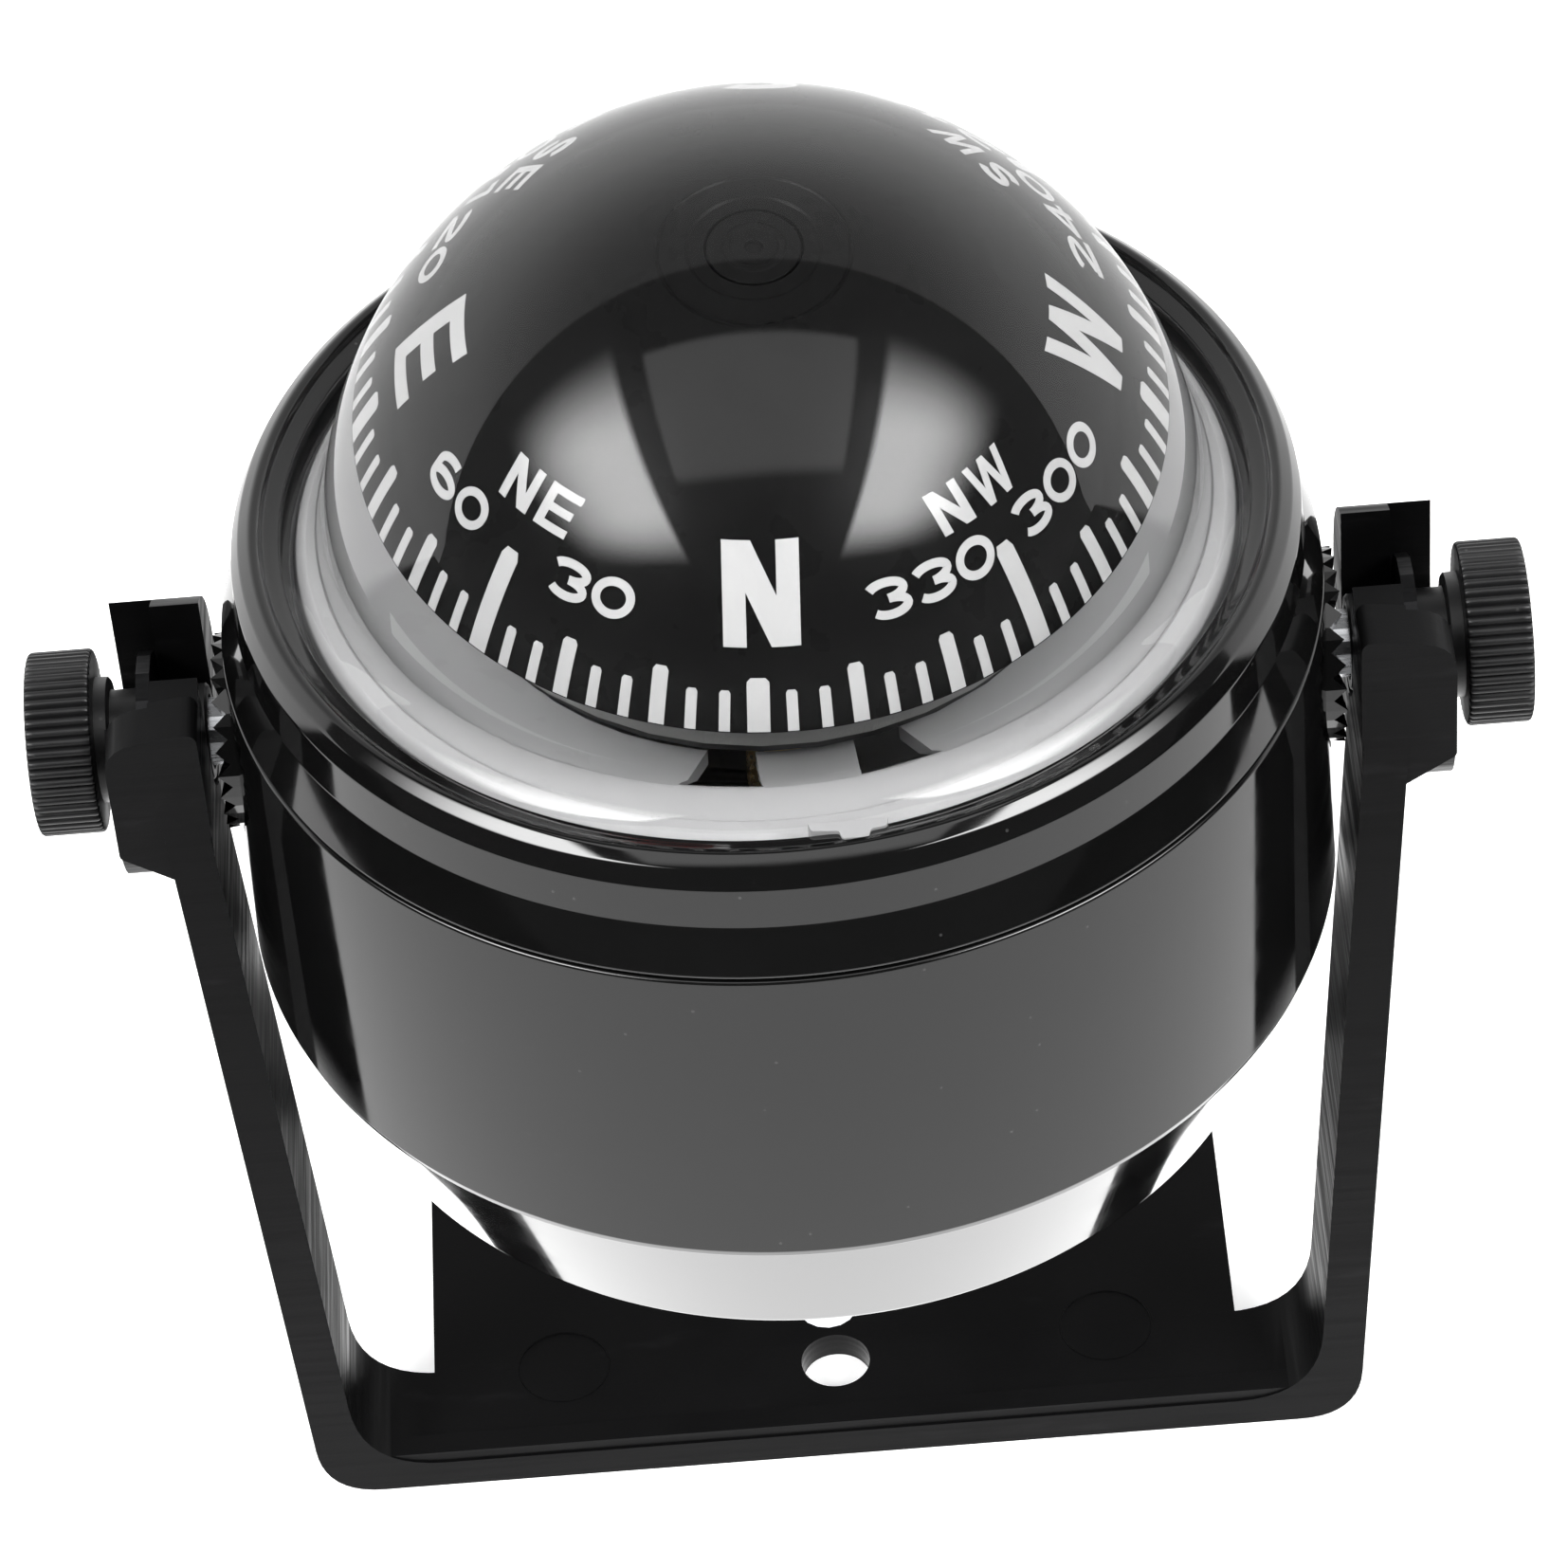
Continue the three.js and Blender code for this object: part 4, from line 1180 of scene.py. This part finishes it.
            for strip in letters.strips(sign):
                self.add_strip(maker, strip, place)
            start += width + legend.gap

    def tick(self, maker: Mesh, bearing: int) -> None:
        """Adds one mark of the scale."""
        kind = next(step for step in (90, 45, 15, 5) if bearing % step == 0)
        top, half = self.tick_top[kind], self.tick_width[kind] / 2
        bottom = self.rim + 0.2
        corner = math.degrees(half * 0.5 / self.radius)
        steps = 14
        left, right = [], []
        for i in range(steps + 1):
            latitude = bottom + (top - bottom) * i / steps
            into = max(0.0, latitude - (top - corner)) / corner
            reach = half * (1 - 0.35 * into**2)
            left.append((-reach, latitude))
            right.append((reach, latitude))

        def place(x: float, y: float, rise: float) -> Vector:
            """Puts a point of the mark on the card. The second value is already a latitude."""
            turn = bearing + math.degrees(x / (self.radius * math.cos(math.radians(y))))
            return self.on_card(y, turn, rise)

        self.add_strip(maker, (left, right), place)

    def build(self) -> None:
        """Builds the cap, its paint and the hub's crown."""
        cap = self.lie(turned(self.cap_outline(), segments=224))
        settle(new_object("card_cap", cap, 25), Finish.CARD, "card", "compass_card")
        paint = bmesh.new()
        for bearing in range(0, 360, 5):
            self.tick(paint, bearing)
        for legend in self.legends:
            for word, bearing in legend.words.items():
                self.write(paint, legend, word, bearing)
        bmesh.ops.recalc_face_normals(paint, faces=paint.faces)
        settle(new_object("card_lettering", self.lie(paint), 50), Finish.PAINT, "card")
        self.build_hub()

    def build_hub(self) -> None:
        """Builds the hub: a dished crown over a long stem that ends in the jewel's cup."""
        top = self.radius
        inside = self.radius - self.wall - 0.3
        cup = self.tip_rise - 1.4
        outline = rounded_outline([
            (0, top - 0.7, 0),
            (0.5, top - 0.7, 0.1),
            (0.6, top - 0.28, 0.1),
            (1.5, top - 0.28, 0.1),
            (1.65, top - 0.16, 0.1),
            (2.0, top - 0.16, 0.1),
            (2.15, top - 0.3, 0.1),
            (self.hub_radius, top - 0.34, 0.1),
            (self.hub_radius, inside - 0.9, 0.1),
            (6, inside - 1.6, 0.3),
            (6, inside - 2.4, 0.3),
            (2.6, inside - 3, 0.4),
            (2.6, cup, 0.3),
            (1.6, cup, 0.1),
            (1.6, self.tip_rise + 2.4, 0),
            (0, self.tip_rise + 2.4, 0),
        ], 4)
        hub = self.lie(turned(outline, segments=96))
        settle(new_object("card_hub_crown", hub, 30), Finish.CARD, "card", "card_hub")


# ---- knobs ------------------------------------------------------------------------------------


@dataclass
class Knob:
    """A knurled side knob with its collar and neck, turned about the tilt axis."""

    side: Side
    radius: float = 6.8
    outer: float = 55.0
    inner: float = 50.2
    collar_radius: float = 4.65
    neck_radius: float = 3.6
    boss_outer: float = 48.8
    neck_end: float = 41.9
    bore: float = 2.8
    bore_end: float = 53.2
    ribs: int = 54
    rib_depth: float = 0.34

    def ripple(self, radius: float, height: float, angle: float) -> float:
        """The radius of the grip at an angle, with its ribs."""
        if radius < self.radius - 0.45:
            return radius
        wave = abs(math.sin(angle * self.ribs / 2))
        return radius - self.rib_depth * (1 - wave) ** 1.5

    def outline(self) -> Points:
        """The section from the middle of the end face to the end of the bore."""
        return [
            (0, self.outer - 0.25),
            (4.9, self.outer - 0.25),
            (5.15, self.outer),
            (6.25, self.outer),
            (self.radius - 0.3, self.outer - 0.03),
            (self.radius - 0.1, self.outer - 0.12),
            (self.radius, self.outer - 0.32),
            *((self.radius, self.outer - 0.32 - 0.42 * i) for i in range(1, 10)),
            (self.radius, self.inner + 0.28),
            (self.radius - 0.1, self.inner + 0.1),
            (self.radius - 0.3, self.inner + 0.02),
            (5.2, self.inner),
            (self.collar_radius, self.inner - 0.05),
            (self.collar_radius - 0.05, self.boss_outer + 0.45),
            (self.collar_radius - 0.25, self.boss_outer + 0.3),
            (self.neck_radius + 0.05, self.boss_outer + 0.28),
            (self.neck_radius, self.boss_outer),
            (self.neck_radius, self.neck_end + 0.2),
            (self.neck_radius - 0.2, self.neck_end),
            (self.bore, self.neck_end),
            (self.bore, self.bore_end),
            (0, self.bore_end),
        ]

    def build(self) -> None:
        """Builds the knob."""
        side = self.side.value
        maker = raise_to_axis(turned(self.outline(), Axis.ACROSS, self.ribs * 8, self.ripple))
        if side < 0:
            bmesh.ops.scale(maker, vec=(-1, 1, 1), verts=maker.verts)
            bmesh.ops.reverse_faces(maker, faces=maker.faces)
        node = self.side.word + "_knob"
        settle(new_object(node + "_grip", maker, 32), Finish.KNOB, node, node)


# ---- inner works ------------------------------------------------------------------------------


@dataclass
class InnerWorks:
    """The nodes that keep their own shape and only take a finish and soft edges."""

    finishes: dict[Finish, tuple[str, ...]] = field(default_factory=lambda: {
        Finish.PALE: ("bowl", "baffle_plate", "pivot_spider"),
        Finish.SATIN: ("diaphragm_ring", "magnet_yoke", "bottom_plate", "compensator_carrier"),
        Finish.RUBBER: ("dome_gasket", "expansion_diaphragm"),
        Finish.STEEL: ("pivot_needle", "bottom_screw_1", "bottom_screw_2", "bottom_screw_3",
                       "right_stud", "left_stud"),
        Finish.BLACKENED: ("right_washer", "left_washer"),
        Finish.BRASS: ("pivot_post", "right_threaded_insert", "left_threaded_insert",
                       "compensator_rod_ns", "compensator_rod_ew"),
        Finish.MAGNET: ("card_magnet_east", "card_magnet_west",
                        "compensator_magnet_ns", "compensator_magnet_ew"),
        Finish.FOAM: ("card_float",),
        Finish.JEWEL: ("jewel_cup",),
        Finish.CASE: ("right_rosette", "left_rosette"),
    })
    edge: float = 0.08

    def build(self) -> None:
        """Dresses every node that is still shown."""
        for finish, names in self.finishes.items():
            for name in names:
                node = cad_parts[name]
                dress(node, finish)
                soften(node, self.edge, 1, 50)
                log.info("%s keeps its shape", name)


# ---- studio -----------------------------------------------------------------------------------


@dataclass(frozen=True)
class Patch:
    """A soft light painted on the sky, as seen on a ceiling one unit above the compass.

    Each range is where the light starts and ends, and each fade is how wide its edges are.
    """

    radiance: float
    across: tuple[float, float]
    across_fade: tuple[float, float]
    along: tuple[float, float]
    along_fade: tuple[float, float]


class Sky:
    """The studio's surroundings, seen only by the world's rays."""

    def __init__(self, name: str) -> None:
        """Starts a world.

        Args:
            name: The world's name.
        """
        world = bpy.data.worlds.new(name)
        world.use_nodes = True
        bpy.context.scene.world = world
        self.tree = world.node_tree
        where = self.tree.nodes.new("ShaderNodeTexCoord")
        split = self.tree.nodes.new("ShaderNodeSeparateXYZ")
        self.tree.links.new(where.outputs["Generated"], split.inputs["Vector"])
        self.height = split.outputs["Z"]
        above = self.math("MAXIMUM", self.height, 0.02)
        self.across = self.math("DIVIDE", split.outputs["X"], above)
        self.along = self.math("DIVIDE", split.outputs["Y"], above)

    def math(self, operation: str, first: object, second: object) -> Socket:
        """Combines two values, each a socket or a number."""
        node = self.tree.nodes.new("ShaderNodeMath")
        node.operation = operation
        for value, target in zip((first, second), node.inputs):
            if isinstance(value, Socket):
                self.tree.links.new(value, target)
            else:
                target.default_value = value
        return node.outputs["Value"]

    def step(self, value: Socket, start: float, end: float,
             low: float = 0.0, high: float = 1.0) -> Socket:
        """A smooth step from low to high between two values."""
        node = self.tree.nodes.new("ShaderNodeMapRange")
        node.interpolation_type = "SMOOTHSTEP"
        for key, setting in (("From Min", start), ("From Max", end), ("To Min", low), ("To Max", high)):
            node.inputs[key].default_value = setting
        self.tree.links.new(value, node.inputs["Value"])
        return node.outputs["Result"]

    def window(self, value: Socket, span: tuple[float, float],
               fade: tuple[float, float]) -> Socket:
        """1 inside a span and 0 outside it, with its own fade at each end."""
        rise = self.step(value, span[0] - fade[0], span[0])
        fall = self.step(value, span[1], span[1] + fade[1], 1.0, 0.0)
        return self.math("MULTIPLY", rise, fall)

    def patch(self, patch: Patch) -> Socket:
        """The radiance of one painted light."""
        shape = self.math("MULTIPLY", self.window(self.across, patch.across, patch.across_fade),
                          self.window(self.along, patch.along, patch.along_fade))
        overhead = self.step(self.height, 0.05, 0.12)
        return self.math("MULTIPLY", self.math("MULTIPLY", shape, overhead), patch.radiance)

    def finish(self, parts: Sequence[Socket], room: float) -> None:
        """Adds all the parts and a dim room together.

        Args:
            parts: Radiance sockets.
            room: The dim room's radiance.
        """
        total = parts[0]
        for part in parts[1:]:
            total = self.math("ADD", total, part)
        total = self.math("ADD", total, room)
        background = self.tree.nodes["Background"]
        self.tree.links.new(total, background.inputs["Strength"])
        background.inputs["Color"].default_value = (1, 1, 1, 1)


@dataclass
class Studio:
    """A pale floor, soft light and the camera."""

    lens: float = 163.3
    sensor: float = 36.0
    azimuth: float = 0.67
    elevation: float = 43.98
    roll: float = -4.92
    distance: float = 530.5
    target: tuple[float, float, float] = (-0.27, 0.0, 57.25)
    floor_half: float = 3000.0
    room: float = 0.06
    floor_glow: float = 0.5
    table_half: float = 2000.0
    table_front: float = -250.0
    table_back: float = 3000.0
    table_behind: float = 60.0
    table_glow: float = 1.3
    table_hot: float = 2.7
    table_middle: float = 72.0
    table_reach: float = 235.0
    floor_height: float = -0.05
    table_height: float = -0.04
    hot_inner: float = 62.0
    hot_outer: float = 82.0
    fill_size: float = 1.6
    fill_energy: float = 9.0
    fill_place: tuple[float, float, float] = (0.1, -0.2, 1.7)
    wing_slope: float = 0.325
    wing_line: float = -34.7
    patches: tuple[Patch, ...] = (
        Patch(1.4, (-0.44, 0.44), (0.04, 0.04), (-0.62, 0.02), (0.12, 0.05)),
        Patch(15.0, (-0.85, -0.66), (1.1, 0.07), (-0.85, -0.4), (0.7, 0.6)),
        Patch(15.0, (0.66, 0.85), (0.07, 1.1), (-0.95, -0.45), (0.7, 0.6)),
    )

    def camera(self) -> None:
        """Places the camera."""
        azimuth, elevation, roll = (math.radians(a) for a in (self.azimuth, self.elevation, self.roll))
        back = Vector((math.sin(azimuth) * math.cos(elevation), -math.cos(azimuth) * math.cos(elevation),
                       math.sin(elevation)))
        right = (-back).cross(Vector((0, 0, 1))).normalized()
        up = right.cross(-back)
        across = right * math.cos(roll) + up * math.sin(roll)
        above = up * math.cos(roll) - right * math.sin(roll)
        data = bpy.data.cameras.new("camera")
        data.lens, data.sensor_width = self.lens, self.sensor
        data.clip_start, data.clip_end = 0.01, 20
        camera = bpy.data.objects.new("camera", data)
        place = (Vector(self.target) + back * self.distance) * MM
        camera.matrix_world = Matrix((across, above, back)).transposed().to_4x4()
        camera.location = place
        bpy.context.scene.collection.objects.link(camera)
        bpy.context.scene.camera = camera

    def sheet(self, name: str, low: Point, high: Point, height: float) -> bpy.types.Object:
        """A level sheet between two corners."""
        maker = bmesh.new()
        corners = ((low[0], low[1]), (high[0], low[1]), (high[0], high[1]), (low[0], high[1]))
        maker.faces.new([maker.verts.new((x, y, height)) for x, y in corners])
        return new_object(name, maker)

    def table_light(self) -> bpy.types.Material:
        """The table's light, a painted reflection seen only in polished faces: a painted bright pool round
        the compass, and painted dark reflection at both sides behind its wing lines.
        """
        nodes = Nodes("lit table")
        reach = nodes.add("ShaderNodeVectorMath", operation="LENGTH")
        nodes.link(nodes.place, reach.inputs[0])
        split = nodes.add("ShaderNodeSeparateXYZ")
        nodes.link(nodes.place, split.inputs["Vector"])
        # Painted dark reflection: outside the middle strip, the table goes dark at both sides behind the
        # wing lines.
        aside = nodes.math("ABSOLUTE", split.outputs["X"], 0.0)
        wing = nodes.math("SUBTRACT", split.outputs["Y"], nodes.math("MULTIPLY", aside, self.wing_slope))
        line, middle = self.wing_line * MM, self.table_middle * MM
        ahead = nodes.ramp(wing, line, line + 2 * MM, 1.0, 0.0)
        inside = nodes.ramp(aside, middle, middle + 3 * MM, 1.0, 0.0)
        near = nodes.ramp(reach.outputs["Value"], self.table_reach * MM,
                          (self.table_reach + 6) * MM, 1.0, 0.0)
        lit = nodes.math("MULTIPLY", nodes.math("MAXIMUM", ahead, inside), near)
        behind = nodes.ramp(split.outputs["Y"], self.table_behind * MM,
                            (self.table_behind + 20) * MM, 0.0, 1.0)
        lit = nodes.math("MAXIMUM", lit, behind)
        lit = nodes.math("MULTIPLY", lit, self.table_glow)
        # A painted bright pool of light round the compass, seen only in polished faces.
        hot = nodes.ramp(reach.outputs["Value"], self.hot_inner * MM,
                         self.hot_outer * MM, self.table_hot, 0.0)
        nodes.link(nodes.math("MAXIMUM", lit, hot), nodes.shader.inputs["Emission Strength"])
        nodes.shader.inputs["Emission Color"].default_value = (1, 1, 1, 1)
        nodes.shader.inputs["Base Color"].default_value = (0, 0, 0, 1)
        nodes.shader.inputs["Specular IOR Level"].default_value = 0.0
        return nodes.material

    def floor(self) -> None:
        """Lays the floor, and the lit table top, a painted reflection that polished faces show in the
        floor's place.
        """
        half = self.floor_half
        floor = self.sheet("floor", (-half, -half), (half, half), self.floor_height)
        nodes = Nodes("pale floor")
        tint = nodes.blend(nodes.noise(400.0), (0.92, 0.92, 0.92), (0.94, 0.94, 0.94))
        nodes.link(tint, nodes.shader.inputs["Base Color"])
        nodes.shader.inputs["Roughness"].default_value = 0.9
        nodes.shader.inputs["Specular IOR Level"].default_value = 0.0
        nodes.shader.inputs["Emission Color"].default_value = (1, 1, 1, 1)
        nodes.shader.inputs["Emission Strength"].default_value = self.floor_glow
        floor.data.materials.append(nodes.material)
        floor.visible_glossy = False
        # The lit table is a painted reflection: only glossy rays see it, and it lights nothing and casts no
        # shadow.
        table = self.sheet("lit_table", (-self.table_half, self.table_front),
                           (self.table_half, self.table_back), self.table_height)
        table.data.materials.append(self.table_light())
        table.visible_camera = False
        table.visible_diffuse = False
        table.visible_transmission = False
        table.visible_shadow = False

    def surroundings(self) -> None:
        """The white backdrop behind the compass and the soft lights over it."""
        sky = Sky("studio")
        behind = sky.step(sky.along, 0.43, 0.46)
        height = sky.step(sky.height, 0.25, 0.85, 1.35, 0.45)
        backdrop = sky.math("MULTIPLY", behind, height)
        backdrop = sky.math("MULTIPLY", backdrop, sky.step(sky.height, -0.1, -0.05))
        sky.finish([backdrop, *(sky.patch(patch) for patch in self.patches)], self.room)

    def fill(self) -> None:
        """A soft overhead light that brightens matt faces and leaves no image of itself in polished ones."""
        data = bpy.data.lights.new("overhead fill", "AREA")
        data.shape = "DISK"
        data.size = self.fill_size
        data.energy = self.fill_energy
        light = bpy.data.objects.new("overhead fill", data)
        light.location = self.fill_place
        light.rotation_mode = "QUATERNION"
        light.rotation_quaternion = Vector(light.location).to_track_quat("Z", "Y")
        light.visible_camera = False
        light.visible_glossy = False
        light.visible_transmission = False
        bpy.context.scene.collection.objects.link(light)

    def build(self) -> None:
        """Sets up the floor, the lights and the camera."""
        self.floor()
        self.surroundings()
        self.fill()
        self.camera()
        bpy.context.scene.view_settings.view_transform = "Standard"


def main() -> None:
    """Builds the compass, piece by piece, and its studio."""
    logging.basicConfig(level=logging.INFO, format="%(name)s: %(message)s")
    Bracket().build()
    CaseBody().build()
    DomeAndRing().build()
    CompassCard().build()
    for side in Side:
        Knob(side).build()
    InnerWorks().build()
    Studio().build()


if __name__ == "__main__":
    main()
